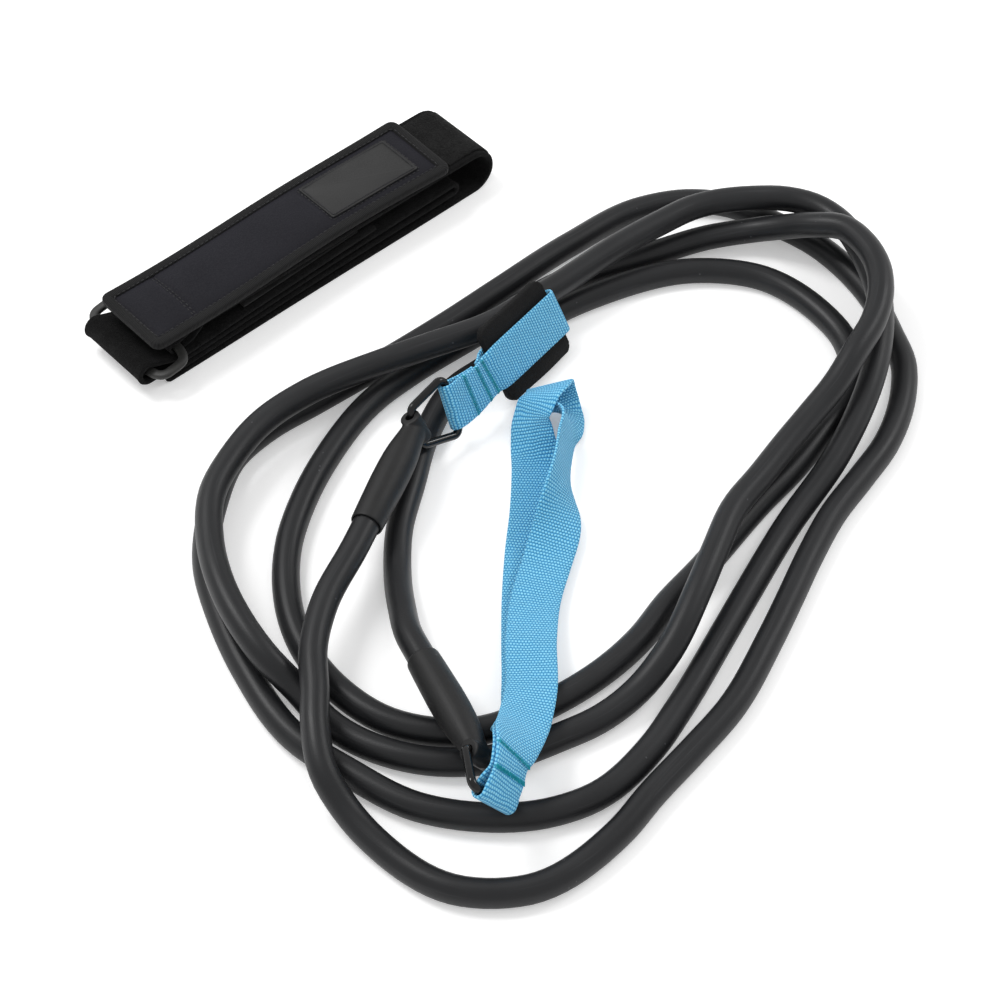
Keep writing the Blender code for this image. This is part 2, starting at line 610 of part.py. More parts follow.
def loop_a(bar, bar_way, pad_frame, webbing, thread, parent):
    spine, across, places = loop_a_spine(bar, bar_way, pad_frame)
    seam = places[-1] - PAD_LENGTH
    pad_offset = PAD_THICKNESS / 2 + SEAT_GAP + WEBBING_THICKNESS / 2
    aheads, across, faces = path_frames(spine, across)
    front, rear = [], []
    for i, point in enumerate(spine):
        offset = leg_offset(places[i], seam, pad_offset)
        front.append(point - faces[i] * offset)
        rear.append(point + faces[i] * offset)
    pad_turn = []
    end = spine[-1] + aheads[-1] * SEAT_GAP
    for k in range(1, FOLD_STEPS):
        turn = math.pi * k / FOLD_STEPS
        round_end = aheads[-1] * math.sin(turn) - faces[-1] * math.cos(turn)
        pad_turn.append(end + round_end * pad_offset)
    butt = int(np.searchsorted(places, seam * LOOP_A_BUTT_SHARE))
    fold = round_bar(spine[0], aheads[0], -faces[0])
    path = rear[butt::-1] + fold + front + pad_turn + rear[:butt + 1:-1]
    sides = across[butt::-1] + [across[0]] * len(fold) + across + [across[-1]] * len(pad_turn)
    sides = sides + across[:butt + 1:-1]
    strip = ribbon("webbing_loop_a", path, sides, WEBBING_WIDTH, WEBBING_THICKNESS, webbing, parent, 2)
    flipped = [-side for side in across]
    for number, place in enumerate(LOOP_A_TACKS, 1):
        i = int(np.searchsorted(places, place))
        tack(f"loop_a_bar_tack_{number}", front, flipped, i, thread, parent)
    return strip


def widths_of(rows):
    """The way of the webbing's width at each row: turned from the x axis, then tipped down."""
    sides = []
    for row in rows:
        tilt, turn = math.radians(row[3]), math.radians(row[4])
        level = Vector((math.cos(turn), math.sin(turn), 0.0))
        sides.append(level * math.cos(tilt) - Vector((0.0, 0.0, math.sin(tilt))))
    return sides


def loop_b(bar, bar_way, webbing, thread, parent):
    """Loop B from the ring's bar along its front leg, over its top fold and back along its rear leg."""
    level = (0.0, 0.0)
    over = (*LOOP_B_TURN, *level)
    heading, first = first_run(bar, bar_way, LOOP_B_FRONT[0])
    turns = LOOP_B_FRONT[0][3:]
    stations = [(*bar, *turns), (*first, *turns), *LOOP_B_FRONT, LOOP_B_TOP]
    headings = {0: (*heading, *level), 1: (*heading, *level), -1: over}
    front = evenly(smooth_curve(stations, headings, WEBBING_STEP / 3), WEBBING_STEP / 2)
    points = [Vector(row[:3]) for row in front]
    sides = widths_of(front)
    runs = np.linalg.norm(np.diff(front[:, :3], axis=0), axis=1)
    places = np.concatenate([[0.0], np.cumsum(runs)])
    end = np.array(LOOP_B_FRONT[LOOP_B_SEAM_STEPS][:3])
    seam = int(np.argmin(np.linalg.norm(front[:, :3] - end, axis=1)))
    for i in range(seam + 1):
        share = max(0.0, (places[i] - WEBBING_STRAIGHT) / (places[seam] - WEBBING_STRAIGHT))
        sides[i] = bar_way.lerp(sides[i], share)
    aheads, sides, faces = path_frames(points, sides)
    upper, lower = [], []
    for i in range(len(points) - 1):
        share = min(1.0, places[i] / (4 * WRAP_RADIUS))
        offset = WRAP_RADIUS + (SEAM_OFFSET - WRAP_RADIUS) * share * share * (3 - 2 * share)
        past = max(0.0, places[i] - places[seam]) / (2 * LOOP_B_FOLLOW)
        upper.append(points[i] + faces[i] * offset * max(0.0, 1 - past))
        if i <= seam:
            lower.append(points[i] - faces[i] * offset)
    fold = round_bar(points[0], aheads[0], faces[0])
    butt = int(np.searchsorted(places, places[seam] + SEAM_BUTT_GAP))
    join = points[butt] - faces[butt] * SEAM_OFFSET
    near = int(np.searchsorted(places, places[seam] + LOOP_B_FOLLOW))
    under = points[near] - faces[near] * (2 * SEAM_OFFSET + 1.5 * WEBBING_THICKNESS)
    stations = [LOOP_B_TOP, *LOOP_B_REAR, (*under, *front[near][3:]), (*join, *front[butt][3:])]
    twist = (front[butt + 1] - front[butt - 1])[3:] / (places[butt + 1] - places[butt - 1])
    headings = {0: over, -1: (*-aheads[butt], *-twist)}
    back = evenly(smooth_curve(stations, headings, WEBBING_STEP / 3), WEBBING_STEP / 2)
    back_points = [Vector(row[:3]) for row in back]
    path = lower[::-1] + fold + upper + back_points
    path_sides = sides[seam::-1] + [sides[0]] * len(fold) + sides[:-1] + widths_of(back)
    strip = ribbon("webbing_loop_b", path, path_sides, WEBBING_WIDTH, WEBBING_THICKNESS, webbing, parent, 2)
    for number, place in enumerate(LOOP_B_TACKS, 1):
        i = int(np.searchsorted(places, place))
        tack(f"loop_b_bar_tack_{number}", upper, sides, i, thread, parent)
    return strip


def rounded_outline(length, width, corner, steps=CORNER_STEPS):
    """A rectangle with round corners about the origin, as a list of x and y."""
    outline = []
    centres = (
        (length / 2 - corner, width / 2 - corner), (corner - length / 2, width / 2 - corner),
        (corner - length / 2, corner - width / 2), (length / 2 - corner, corner - width / 2),
    )
    for quarter, (x, y) in enumerate(centres):
        for k in range(steps + 1):
            turn = (quarter + k / steps) * math.pi / 2
            outline.append((x + corner * math.cos(turn), y + corner * math.sin(turn)))
    return outline


def plate(name, frame, outline, low, high, surface, parent):
    """An outline in the frame's x and y, from one height to another along its z."""
    form = bmesh.new()
    rings = [[frame @ Vector((x, y, z)) for x, y in outline] for z in (low, high)]
    bridged(form, rings)
    return finish_mesh(name, form, surface, parent)


def frame_plate(name, frame, outer, inner, low, high, surface, parent):
    """A flat ring between two outlines of equally many points."""
    form = bmesh.new()
    rings = [
        [frame @ Vector((x, y, z)) for x, y in outline]
        for outline, z in ((outer, low), (outer, high), (inner, high), (inner, low), (outer, low))
    ]
    rows = [[form.verts.new(point) for point in ring] for ring in rings[:-1]]
    rows.append(rows[0])
    count = len(outer)
    for near, far in zip(rows, rows[1:]):
        for i in range(count):
            j = (i + 1) % count
            form.faces.new((near[i], near[j], far[j], far[i]))
    return finish_mesh(name, form, surface, parent)


def arc_points(centre_x, centre_z, radius, start, end, steps=FOLD_STEPS):
    points = []
    for k in range(steps + 1):
        turn = start + (end - start) * k / steps
        points.append((centre_x + radius * math.cos(turn), centre_z + radius * math.sin(turn)))
    return points


def strap_path():
    """The strap's centreline in the belt's x and z, from its sewn end to its free end."""
    bottom, first, second, third = STRAP_LEVELS
    fan = [level + rise for level, rise in zip(STRAP_LEVELS, STRAP_FAN)]
    outer = (STRAP_TOP_LEVEL - bottom) / 2
    path = [(STRAP_END, STRAP_TOP_LEVEL)]
    path += arc_points(STRAP_RIGHT, bottom + outer, outer, math.pi / 2, -math.pi / 2, 2 * FOLD_STEPS)
    low = (first - bottom) / 2
    path += arc_points(STRAP_LOW_FOLD, bottom + low, low, 1.5 * math.pi, math.pi / 2)
    inner = (fan[2] - fan[1]) / 2
    path += arc_points(STRAP_INNER_RIGHT, fan[1] + inner, inner, -math.pi / 2, math.pi / 2)
    wrap = SLIDE_LEFT_LEVEL - second
    path += [(SLIDE_DEPTH, second)]
    path += arc_points(STRAP_SLIDE_FOLD, SLIDE_LEFT_LEVEL, wrap, 1.5 * math.pi, math.pi / 2)
    right_rail = STRAP_SLIDE_FOLD + SLIDE_DEPTH - SLIDE_RAIL
    path += [(right_rail - 1.5 * SLIDE_RAIL / 2, third), (right_rail + SLIDE_RAIL, third)]
    path += [(STRAP_FREE_END, fan[3])]
    return path


def belt_frame(parent):
    turn = Matrix.Rotation(BELT_HEADING, 4, "Z")
    return pivot("belt_pivot", Matrix.Translation(BELT_PLACE) @ turn, parent)


def across_belt(frame, path, count):
    side = frame.to_3x3() @ Vector((0.0, 1.0, 0.0))
    return [frame @ Vector((x, 0.0, z)) for x, z in path], [side] * count


def belt_strip(name, frame, path, width, thickness, surface, parent):
    points, sides = across_belt(frame, path, len(path))
    return ribbon(name, points, sides, width, thickness, surface, parent)


def oval_outline(length, depth, squareness):
    """A superellipse: x across its depth, y along its length."""
    outline = []
    for i in range(SLIDE_SIDES):
        turn = 2 * math.pi * i / SLIDE_SIDES
        x = math.copysign(abs(math.cos(turn)) ** squareness, math.cos(turn))
        y = math.copysign(abs(math.sin(turn)) ** squareness, math.sin(turn))
        outline.append((depth / 2 * x, length / 2 * y))
    return outline


def belt_slide(frame, surface, parent):
    """The oval plastic loop, in the fold of the strap and in the tab."""
    middle = STRAP_SLIDE_FOLD + (SLIDE_DEPTH - SLIDE_RAIL) / 2
    height = (SLIDE_LEFT_LEVEL + SLIDE_RIGHT_LEVEL) / 2
    tilt = math.atan2(SLIDE_RIGHT_LEVEL - SLIDE_LEFT_LEVEL, SLIDE_DEPTH - SLIDE_RAIL)
    local = frame @ Matrix.Translation((middle, 0.0, height)) @ Matrix.Rotation(-tilt, 4, "Y")
    outer = oval_outline(SLIDE_LENGTH, SLIDE_DEPTH, SLIDE_SQUARENESS_SHARE)
    slot_depth = SLIDE_DEPTH - 2 * SLIDE_RAIL
    inner = oval_outline(SLIDE_SLOT_LENGTH, slot_depth, SLOT_SQUARENESS_SHARE)
    half = SLIDE_THICKNESS / 2
    return frame_plate("belt_slide", local, outer, inner, -half, half, surface, parent)


def belt_tab(frame, surface, parent):
    """A short webbing tab round the slide's right rail, its two legs up under the strap's sewn end."""
    rail = STRAP_SLIDE_FOLD + SLIDE_DEPTH - SLIDE_RAIL
    offset = SLIDE_THICKNESS / 2 + TAB_SLACK + TAB_THICKNESS / 2
    upper = STRAP_TOP_LEVEL - STRAP_THICKNESS / 2 - SEAT_GAP - TAB_THICKNESS / 2
    lower = upper - TAB_THICKNESS - SEAT_GAP
    half_rail = SLIDE_RAIL / 2
    path = [
        (TAB_REACH, lower), (TAB_REACH * 0.8, lower - TAB_THICKNESS / 2),
        (rail + 2 * SLIDE_RAIL, SLIDE_RIGHT_LEVEL - offset / 2),
        (rail + SLIDE_RAIL, SLIDE_RIGHT_LEVEL - offset),
    ]
    path += arc_points(rail - half_rail, SLIDE_RIGHT_LEVEL, offset, -math.pi / 2, -1.5 * math.pi)
    path += [
        (rail + half_rail, SLIDE_RIGHT_LEVEL + offset), (rail + 2 * SLIDE_RAIL, upper - TAB_THICKNESS),
        (TAB_REACH * 0.8, upper), (TAB_REACH, upper),
    ]
    return belt_strip("belt_tab", frame, path, TAB_WIDTH, TAB_THICKNESS, surface, parent)


def belt_top(frame, looks, parent):
    """The panel with its bound edge, the bare patch, and both rows of stitching."""
    base = STRAP_TOP_LEVEL + STRAP_THICKNESS / 2 + SEAT_GAP
    middle = frame @ Matrix.Translation((BELT_PAD_LENGTH / 2, 0.0, base))
    length, width = BELT_PAD_LENGTH, BELT_WIDTH
    outer = rounded_outline(length, width, BELT_PAD_CORNER)
    inner_length, inner_width = length - 2 * BINDING_WIDTH, width - 2 * BINDING_WIDTH
    inner = rounded_outline(inner_length, inner_width, BELT_PAD_CORNER / 2)
    frame_plate("belt_binding", middle, outer, inner, 0.0, BINDING_THICKNESS, looks["binding"], parent)
    core = rounded_outline(inner_length - 2 * SEAT_GAP, inner_width - 2 * SEAT_GAP, BELT_PAD_CORNER / 2)
    plate("belt_pad", middle, core, 0.0, BELT_PAD_THICKNESS, looks["panel"], parent)
    face = BELT_PAD_THICKNESS + SEAT_GAP
    patch_x = inner_length / 2 - PATCH_END_GAP - PATCH_LENGTH / 2
    patch_frame = middle @ Matrix.Translation((patch_x, 0.0, face))
    patch = rounded_outline(PATCH_LENGTH, PATCH_WIDTH, BELT_PAD_CORNER / 2)
    plate("belt_patch", patch_frame, patch, 0.0, PATCH_THICKNESS, looks["patch"], parent)
    near, far = 2 * SEAT_GAP, 2 * (SEAT_GAP + PATCH_STITCH_WIDTH)
    stitch_outer = rounded_outline(PATCH_LENGTH + far, PATCH_WIDTH + far, BELT_PAD_CORNER / 2)
    stitch_inner = rounded_outline(PATCH_LENGTH + near, PATCH_WIDTH + near, BELT_PAD_CORNER / 2)
    thread, high = looks["belt_thread"], PATCH_STITCH_HEIGHT
    frame_plate("patch_stitching", patch_frame, stitch_outer, stitch_inner, 0.0, high, thread, parent)
    row_x = ROW_STITCH_PLACE - BELT_PAD_LENGTH / 2
    row_frame = middle @ Matrix.Translation((row_x, 0.0, face))
    row = rounded_outline(ROW_STITCH_WIDTH, ROW_STITCH_LENGTH, ROW_STITCH_WIDTH / 3)
    plate("belt_row_stitch", row_frame, row, 0.0, high, thread, parent)


def closure_strip(name, frame, start, length, level, rise, surface, parent):
    """A hook or loop strip lying along one of the strap's runs, on its upper face."""
    lift = STRAP_THICKNESS / 2 + SEAT_GAP + CLOSURE_THICKNESS / 2
    run = STRAP_FREE_END - STRAP_SLIDE_FOLD
    start_level = level + rise * (start - STRAP_SLIDE_FOLD) / run + lift
    end_level = level + rise * (start + length - STRAP_SLIDE_FOLD) / run + lift
    path = [(start, start_level), (start + length, end_level)]
    return belt_strip(name, frame, path, CLOSURE_WIDTH, CLOSURE_THICKNESS, surface, parent)


def make_belt(looks, parent):
    base = belt_frame(parent)
    frame = base.matrix_world.copy()
    belt_strip("belt_strap", frame, strap_path(), BELT_WIDTH, STRAP_THICKNESS, looks["strap"], base)
    belt_slide(frame, looks["plastic"], base)
    belt_tab(frame, looks["binding"], base)
    belt_top(frame, looks, base)
    under = STRAP_TOP_LEVEL - STRAP_THICKNESS - 2 * SEAT_GAP - CLOSURE_THICKNESS
    soft = looks["loop_pile"]
    closure_strip("loop_strip", frame, LOOP_STRIP_START, LOOP_STRIP_LENGTH, under, 0.0, soft, base)
    hard, level = looks["hook"], STRAP_LEVELS[3]
    closure_strip("hook_strip", frame, HOOK_START, HOOK_LENGTH, level, STRAP_FAN[3], hard, base)
    return base


def make_end(letter, eye, to_mouth, to_bar, bar_way, looks, root):
    """A sleeve with its plug and ring, and the empties on which the ring and its loop turn."""
    mouth, tube_end, out = sleeve_axis(eye, to_mouth)
    ring_frame = frame_from(to_bar, bar_way, eye)
    pin_way = way_of_bar(ring_frame)
    sleeve_frame = frame_from(out, pin_way, eye)
    sleeve(f"end_sleeve_{letter}", sleeve_frame, pin_way, looks["boot"], root)
    plug(f"end_plug_{letter}", tube_end, out, looks["plastic"], root)
    ring_pivot = pivot(f"ring_{letter}_pivot", ring_frame, root)
    wire_ring(f"wire_ring_{letter}", ring_frame, looks["wire"], ring_pivot)
    bar = ring_frame @ Vector((RING_HEIGHT, 0.0, 0.0))
    loop_frame = frame_from(to_bar, bar_way, bar)
    loop_pivot = pivot(f"loop_{letter}_pivot", loop_frame, ring_pivot)
    return loop_pivot, bar, ring_frame


def way_of_bar(ring_frame):
    """The way of a ring's pin and bar."""
    return ring_frame.to_3x3() @ Vector((0.0, 1.0, 0.0))


def centre_on_origin(root):
    """Moves the whole tether so that its box stands on the origin."""
    bpy.context.view_layer.update()
    graph = bpy.context.evaluated_depsgraph_get()
    low, high = np.full(3, np.inf), np.full(3, -np.inf)
    for item in bpy.context.scene.objects:
        if item.type not in ("MESH", "CURVE") or item.hide_render:
            continue
        evaluated = item.evaluated_get(graph)
        mesh = evaluated.to_mesh()
        points = np.array([evaluated.matrix_world @ vertex.co for vertex in mesh.vertices])
        evaluated.to_mesh_clear()
        low, high = np.minimum(low, points.min(axis=0)), np.maximum(high, points.max(axis=0))
    middle = (low + high) / 2
    root.location = (-middle[0], -middle[1], -low[2])
    bpy.context.view_layer.update()
    print("moved by", [round(float(value), 5) for value in root.location])


def main():
    clear_scene()
    looks = {
        "rubber": material("rubber", (0.016, 0.018, 0.024), 0.42),
        "boot": material("boot", (0.020, 0.020, 0.022), 0.50),
        "wire": material("wire", (0.012, 0.012, 0.014), 0.28),
        "webbing": material("webbing", (0.110, 0.420, 0.720), 0.80),
        "thread": material("thread", (0.020, 0.300, 0.400), 0.70),
        "belt_thread": material("belt_thread", (0.020, 0.020, 0.022), 0.70),
        "foam": material("foam", (0.012, 0.012, 0.013), 0.85),
        "panel": material("panel", (0.020, 0.020, 0.028), 0.60),
        "binding": material("binding", (0.022, 0.022, 0.024), 0.75),
        "strap": material("strap", (0.014, 0.014, 0.015), 0.90),
        "patch": material("patch", (0.060, 0.060, 0.066), 0.55),
        "hook": material("hook", (0.016, 0.016, 0.017), 0.80),
        "loop_pile": material("loop_pile", (0.018, 0.018, 0.020), 0.95),
        "plastic": material("plastic", (0.070, 0.070, 0.066), 0.45),
    }
    root = bpy.data.objects.new("tether", None)
    bpy.context.scene.collection.objects.link(root)
    tube, route = rubber_tube(looks["rubber"], root)
    cut_tube = tube_as_mesh(tube, looks["rubber"], root)
    cut(cut_tube, floor_cutter(route, root))
    end_a, end_b = (SLEEVE_A_EYE, SLEEVE_A_TO_MOUTH), (SLEEVE_B_EYE, SLEEVE_B_TO_MOUTH)
    for letter, (eye, to_mouth) in (("a", end_a), ("b", end_b)):
        tube_end, out = sleeve_axis(eye, to_mouth)[1:]
        cut(cut_tube, bore_cutter(f"tube_bore_{letter}", tube_end, out, looks["rubber"], root))
    pivot_a, bar_a, ring_a = make_end("a", *end_a, RING_A_TO_BAR, RING_A_BAR, looks, root)
    pivot_b, bar_b, ring_b = make_end("b", *end_b, RING_B_TO_BAR, RING_B_BAR, looks, root)
    pad_frame = frame_from(PAD_ALONG, PAD_UP, PAD_CENTRE)
    outline = rounded_outline(PAD_LENGTH, PAD_WIDTH, PAD_CORNER)
    plate("loop_a_pad", pad_frame, outline, -PAD_THICKNESS / 2, PAD_THICKNESS / 2, looks["foam"], pivot_a)
    loop_a(bar_a, way_of_bar(ring_a), pad_frame, looks["webbing"], looks["thread"], pivot_a)
    loop_b(bar_b, way_of_bar(ring_b), looks["webbing"], looks["thread"], pivot_b)
    make_belt(looks, root)
    centre_on_origin(root)


def tube_as_mesh(tube, surface, parent):
    """The swept tube as a mesh, so that its ends can be bored and its underside cut flat."""
    bpy.context.view_layer.update()
    mesh = bpy.data.meshes.new_from_object(tube.evaluated_get(bpy.context.evaluated_depsgraph_get()))
    bpy.data.objects.remove(tube, do_unlink=True)
    form = bmesh.new()
    form.from_mesh(mesh)
    bmesh.ops.remove_doubles(form, verts=form.verts, dist=TUBE_CLEARANCE / 100)
    return finish_mesh("rubber_tube", form, surface, parent)


main()
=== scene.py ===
# %% [markdown]
# # A swim tether, dressed for its picture
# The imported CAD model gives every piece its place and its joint. This lesson puts the visible
# pieces over it: rubber, moulded boots, wire, webbing, foam and a folded belt. Each new piece
# rides on the CAD body that carries it, so the same scene is right at every pose.

# %% Load the frame
import json
import math

import bmesh
import bpy
import numpy as np
from mathutils import Matrix, Vector


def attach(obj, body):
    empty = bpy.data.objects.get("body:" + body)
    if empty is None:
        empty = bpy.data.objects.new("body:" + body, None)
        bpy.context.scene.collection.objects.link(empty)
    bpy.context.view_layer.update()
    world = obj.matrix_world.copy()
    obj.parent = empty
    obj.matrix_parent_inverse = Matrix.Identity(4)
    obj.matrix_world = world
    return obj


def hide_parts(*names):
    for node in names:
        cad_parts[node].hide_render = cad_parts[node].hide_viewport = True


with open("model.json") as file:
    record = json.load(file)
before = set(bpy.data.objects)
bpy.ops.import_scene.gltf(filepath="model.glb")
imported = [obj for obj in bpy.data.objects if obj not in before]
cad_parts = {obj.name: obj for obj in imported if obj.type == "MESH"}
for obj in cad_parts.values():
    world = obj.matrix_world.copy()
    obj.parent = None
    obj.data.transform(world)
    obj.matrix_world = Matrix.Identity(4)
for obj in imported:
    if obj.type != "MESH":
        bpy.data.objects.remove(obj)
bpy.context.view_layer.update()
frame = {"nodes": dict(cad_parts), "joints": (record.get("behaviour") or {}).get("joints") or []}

scene = bpy.context.scene

# %% [markdown]
# The routes below are written in a frame whose origin is the middle of the photograph on the
# floor. The CAD model was moved afterwards so that it stands on its own middle. Ring A's pin is
# known in both frames, so the difference between the two gives the move.

# %% The move from the route's frame to the model's frame
EYE_A = Vector((-0.043, 0.027, 0.0255))
ring_a_pin = next(joint for joint in frame["joints"] if joint["name"] == "ring_a_pin")
SHIFT = Vector(ring_a_pin["pos_m"]) - EYE_A
print("shift", [round(v, 5) for v in SHIFT])

# %% [markdown]
# The camera comes first, because it decides what the tube may hide. It stands 1.3 m from the
# middle of the floor and looks down at 50 degrees, through a long lens, which keeps the turns of
# the tube nearly as round as they are.

# %% Camera
CAMERA_DISTANCE = 1.3
CAMERA_ELEVATION = math.radians(50)
LENS = 91.67
SENSOR_WIDTH = 36.0
camera_data = bpy.data.cameras.new("camera")
camera_data.lens = LENS
camera_data.sensor_width = SENSOR_WIDTH
camera = bpy.data.objects.new("camera", camera_data)
scene.collection.objects.link(camera)
camera.location = SHIFT + Vector((
    0.0, -CAMERA_DISTANCE * math.cos(CAMERA_ELEVATION), CAMERA_DISTANCE * math.sin(CAMERA_ELEVATION)))
camera.rotation_euler = (math.pi / 2 - CAMERA_ELEVATION, 0.0, 0.0)
scene.camera = camera
scene.view_settings.view_transform = "Standard"

# %% [markdown]
# Most operators act on whatever is selected, so each step picks its piece and nothing else.

# %% Helpers for picking and applying
def deselect_all():
    if bpy.context.object and bpy.context.object.mode != "OBJECT":
        bpy.ops.object.mode_set(mode="OBJECT")
    bpy.ops.object.select_all(action="DESELECT")


def pick(piece):
    deselect_all()
    piece.select_set(True)
    bpy.context.view_layer.objects.active = piece


def apply_modifiers(piece):
    pick(piece)
    for modifier in list(piece.modifiers):
        bpy.ops.object.modifier_apply(modifier=modifier.name)


def apply_place():
    bpy.ops.object.transform_apply(location=True, rotation=True, scale=True)

# %% [markdown]
# A basic shape is added, opened, changed and closed again. Shapes that are built point by point
# come from a bmesh, and some pieces are copies.

# %% Helpers for making shapes
def basic_shape(operator, scale=(1.0, 1.0, 1.0), **settings):
    """A shape from one of the operators for basic shapes, with its place and size in its mesh."""
    deselect_all()
    operator(**settings)
    made = bpy.context.object
    made.scale = scale
    apply_place()
    return made


def edit_all():
    """Opens the active piece for editing, with all of it picked."""
    bpy.ops.object.mode_set(mode="EDIT")
    bpy.ops.mesh.select_all(action="SELECT")


def face_outward():
    """Turns all faces of the open piece outward and closes it."""
    bpy.ops.mesh.select_all(action="SELECT")
    bpy.ops.mesh.normals_make_consistent(inside=False)
    bpy.ops.object.mode_set(mode="OBJECT")


def copy_of(piece, name):
    made = bpy.data.objects.new(name, piece.data.copy())
    scene.collection.objects.link(made)
    return made


def object_from(form, name):
    """Makes an object of a bmesh and frees the bmesh."""
    mesh = bpy.data.meshes.new(name)
    form.to_mesh(mesh)
    form.free()
    made = bpy.data.objects.new(name, mesh)
    scene.collection.objects.link(made)
    return made


def weld(piece, voxel, passes):
    """Makes a piece one even skin, and softens its edges and the places where its parts meet."""
    skin = piece.modifiers.new("skin", "REMESH")
    skin.mode = "VOXEL"
    skin.voxel_size = voxel
    soften = piece.modifiers.new("soften", "SMOOTH")
    soften.factor = 0.5
    soften.iterations = passes
    apply_modifiers(piece)

# %% [markdown]
# A finished piece has its place in its mesh, so its object sits at the origin. It gets its name,
# its finish and the CAD body that carries it, and the CAD nodes that it stands for are hidden.

# %% Helpers for placing and finishing
def put_in_place(piece, matrix):
    """Moves a piece modelled at the origin to its place, and puts that place in its mesh."""
    piece.matrix_world = matrix
    pick(piece)
    apply_place()


def finish_piece(piece, name, body, surface, nodes=(), angle=60):
    """Names and paints a piece, ties it to its CAD body and hides the CAD nodes that it stands for."""
    piece.name = name
    piece.data.name = name
    piece.data.materials.clear()
    piece.data.materials.append(surface)
    pick(piece)
    bpy.ops.object.shade_smooth_by_angle(angle=math.radians(angle))
    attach(piece, body)
    if nodes:
        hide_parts(*nodes)
    print(name, len(piece.data.polygons), "faces")


def frame_from(x_axis, y_hint, origin):
    """A matrix whose x points along x_axis and whose y is as near y_hint as it can be."""
    x = Vector(x_axis).normalized()
    y = Vector(y_hint) - x * Vector(y_hint).dot(x)
    y.normalize()
    turn = Matrix((x, y, x.cross(y))).transposed().to_4x4()
    return Matrix.Translation(origin) @ turn


def raised(height):
    return Matrix.Translation((0.0, 0.0, height))


def clamp(value):
    return min(1.0, max(0.0, value))


def ease(share):
    """A share from 0 to 1 that starts and ends gently."""
    return share * share * (3 - 2 * share)

# %% [markdown]
# Long soft pieces, such as tube and webbing, are one section carried along a path. Blender can
# sweep a curve, but not with a given twist at each place, so this helper joins rings of points
# itself. It also writes a UV map in metres: along the piece, then across it. The weave and the
# scuffs follow that map, so they turn with the webbing and don't stretch.

# %% The sweep
def path_frames(points, sides, closed=False):
    """The way ahead, the squared-up way across and the face of a strip, at each of its points."""
    aheads, squared, faces = [], [], []
    last = len(points) - 1
    for i, side in enumerate(sides):
        after = points[(i + 1) % len(points)] if closed else points[min(i + 1, last)]
        before = points[i - 1] if closed else points[max(i - 1, 0)]
        ahead = (after - before).normalized()
        side = (side - ahead * side.dot(ahead)).normalized()
        aheads.append(ahead)
        squared.append(side)
        faces.append(side.cross(ahead))
    return aheads, squared, faces


def places_along(points):
    """How far each point of a path is from its first."""
    runs = [(b - a).length for a, b in zip(points, points[1:])]
    return np.concatenate([[0.0], np.cumsum(runs)])


def swept(points, sides, section, closed=False, floor=None, widths=None):
    """An object whose section, a list of places across and up, is carried along points."""
    widths = widths or [1.0] * len(points)
    points = [Vector(point) for point in points]
    aheads, across, faces = path_frames(points, [Vector(side) for side in sides], closed)
    form = bmesh.new()
    rows = []
    for point, side, face, width in zip(points, across, faces, widths):
        row = [point + side * a * width + face * b for a, b in section]
        if floor is not None:
            for place in row:
                place.z = max(place.z, floor)
        rows.append([form.verts.new(place) for place in row])
    places = places_along(points)
    if closed:
        places = np.append(places, places[-1] + (points[0] - points[-1]).length)
    map_layer = form.loops.layers.uv.new("cloth")
    count = len(section)
    for i in range(len(points) if closed else len(points) - 1):
        near, far = rows[i], rows[(i + 1) % len(rows)]
        for k in range(count):
            m = (k + 1) % count
            made = form.faces.new((near[k], near[m], far[m], far[k]))
            for loop, along, a in zip(made.loops, (i, i, i + 1, i + 1), (k, m, m, k)):
                loop[map_layer].uv = (places[along], section[a][0])
    if not closed:
        for row, along in ((rows[0][::-1], 0), (rows[-1], len(points) - 1)):
            made = form.faces.new(row)
            for loop in made.loops:
                loop[map_layer].uv = (places[along], 0.0)
    bmesh.ops.recalc_face_normals(form, faces=form.faces)
    return object_from(form, "swept")

# %% [markdown]
# Two sections serve most of the sweeps: a round one, and a flat strip with round edges. A path is
# a smooth curve through a few stations, cut into even steps.

# %% Sections and paths
def round_section(radius, sides):
    turns = [2 * math.pi * k / sides for k in range(sides)]
    return [(radius * math.cos(turn), radius * math.sin(turn)) for turn in turns]


EDGE_TURNS = (0.9, 1.57, 2.24)


def flat_section(width, thickness, cells, bead=0.0, bead_width=0.003):
    """A flat strip's section with round edges; a bead makes it thicker along its edges."""
    edge = thickness / 2
    inner = width / 2 - edge
    over = []
    for k in range(cells + 1):
        a = inner - 2 * inner * k / cells
        near = max(0.0, 1 - (inner - abs(a)) / bead_width)
        over.append((a, edge + bead * ease(near)))
    left = [(-inner - edge * math.sin(turn), (edge + bead) * math.cos(turn)) for turn in EDGE_TURNS]
    under = [(a, -b) for a, b in over[::-1]]
    right = [(-a, -b) for a, b in left]
    return over + left + under + right


def smooth_curve(points, headings, step):
    """A smooth curve through points of any size. Headings gives its way at some of them."""
    points = np.array(points, float)
    runs = np.linalg.norm(np.diff(points[:, :3], axis=0), axis=1)
    slopes = np.diff(points, axis=0) / runs[:, None]
    tangents = np.empty_like(points)
    tangents[0], tangents[-1] = slopes[0], slopes[-1]
    before, after = runs[:-1, None], runs[1:, None]
    tangents[1:-1] = (slopes[:-1] * after + slopes[1:] * before) / (before + after)
    for number, heading in headings.items():
        tangents[number] = heading
    made = []
    for i, run in enumerate(runs):
        count = max(2, int(math.ceil(run / step)))
        for share in np.arange(count) / count:
            a = 2 * share**3 - 3 * share**2 + 1
            b = share**3 - 2 * share**2 + share
            c = 3 * share**2 - 2 * share**3
            d = share**3 - share**2
            here = a * points[i] + b * run * tangents[i]
            made.append(here + c * points[i + 1] + d * run * tangents[i + 1])
    made.append(points[-1])
    return np.array(made)


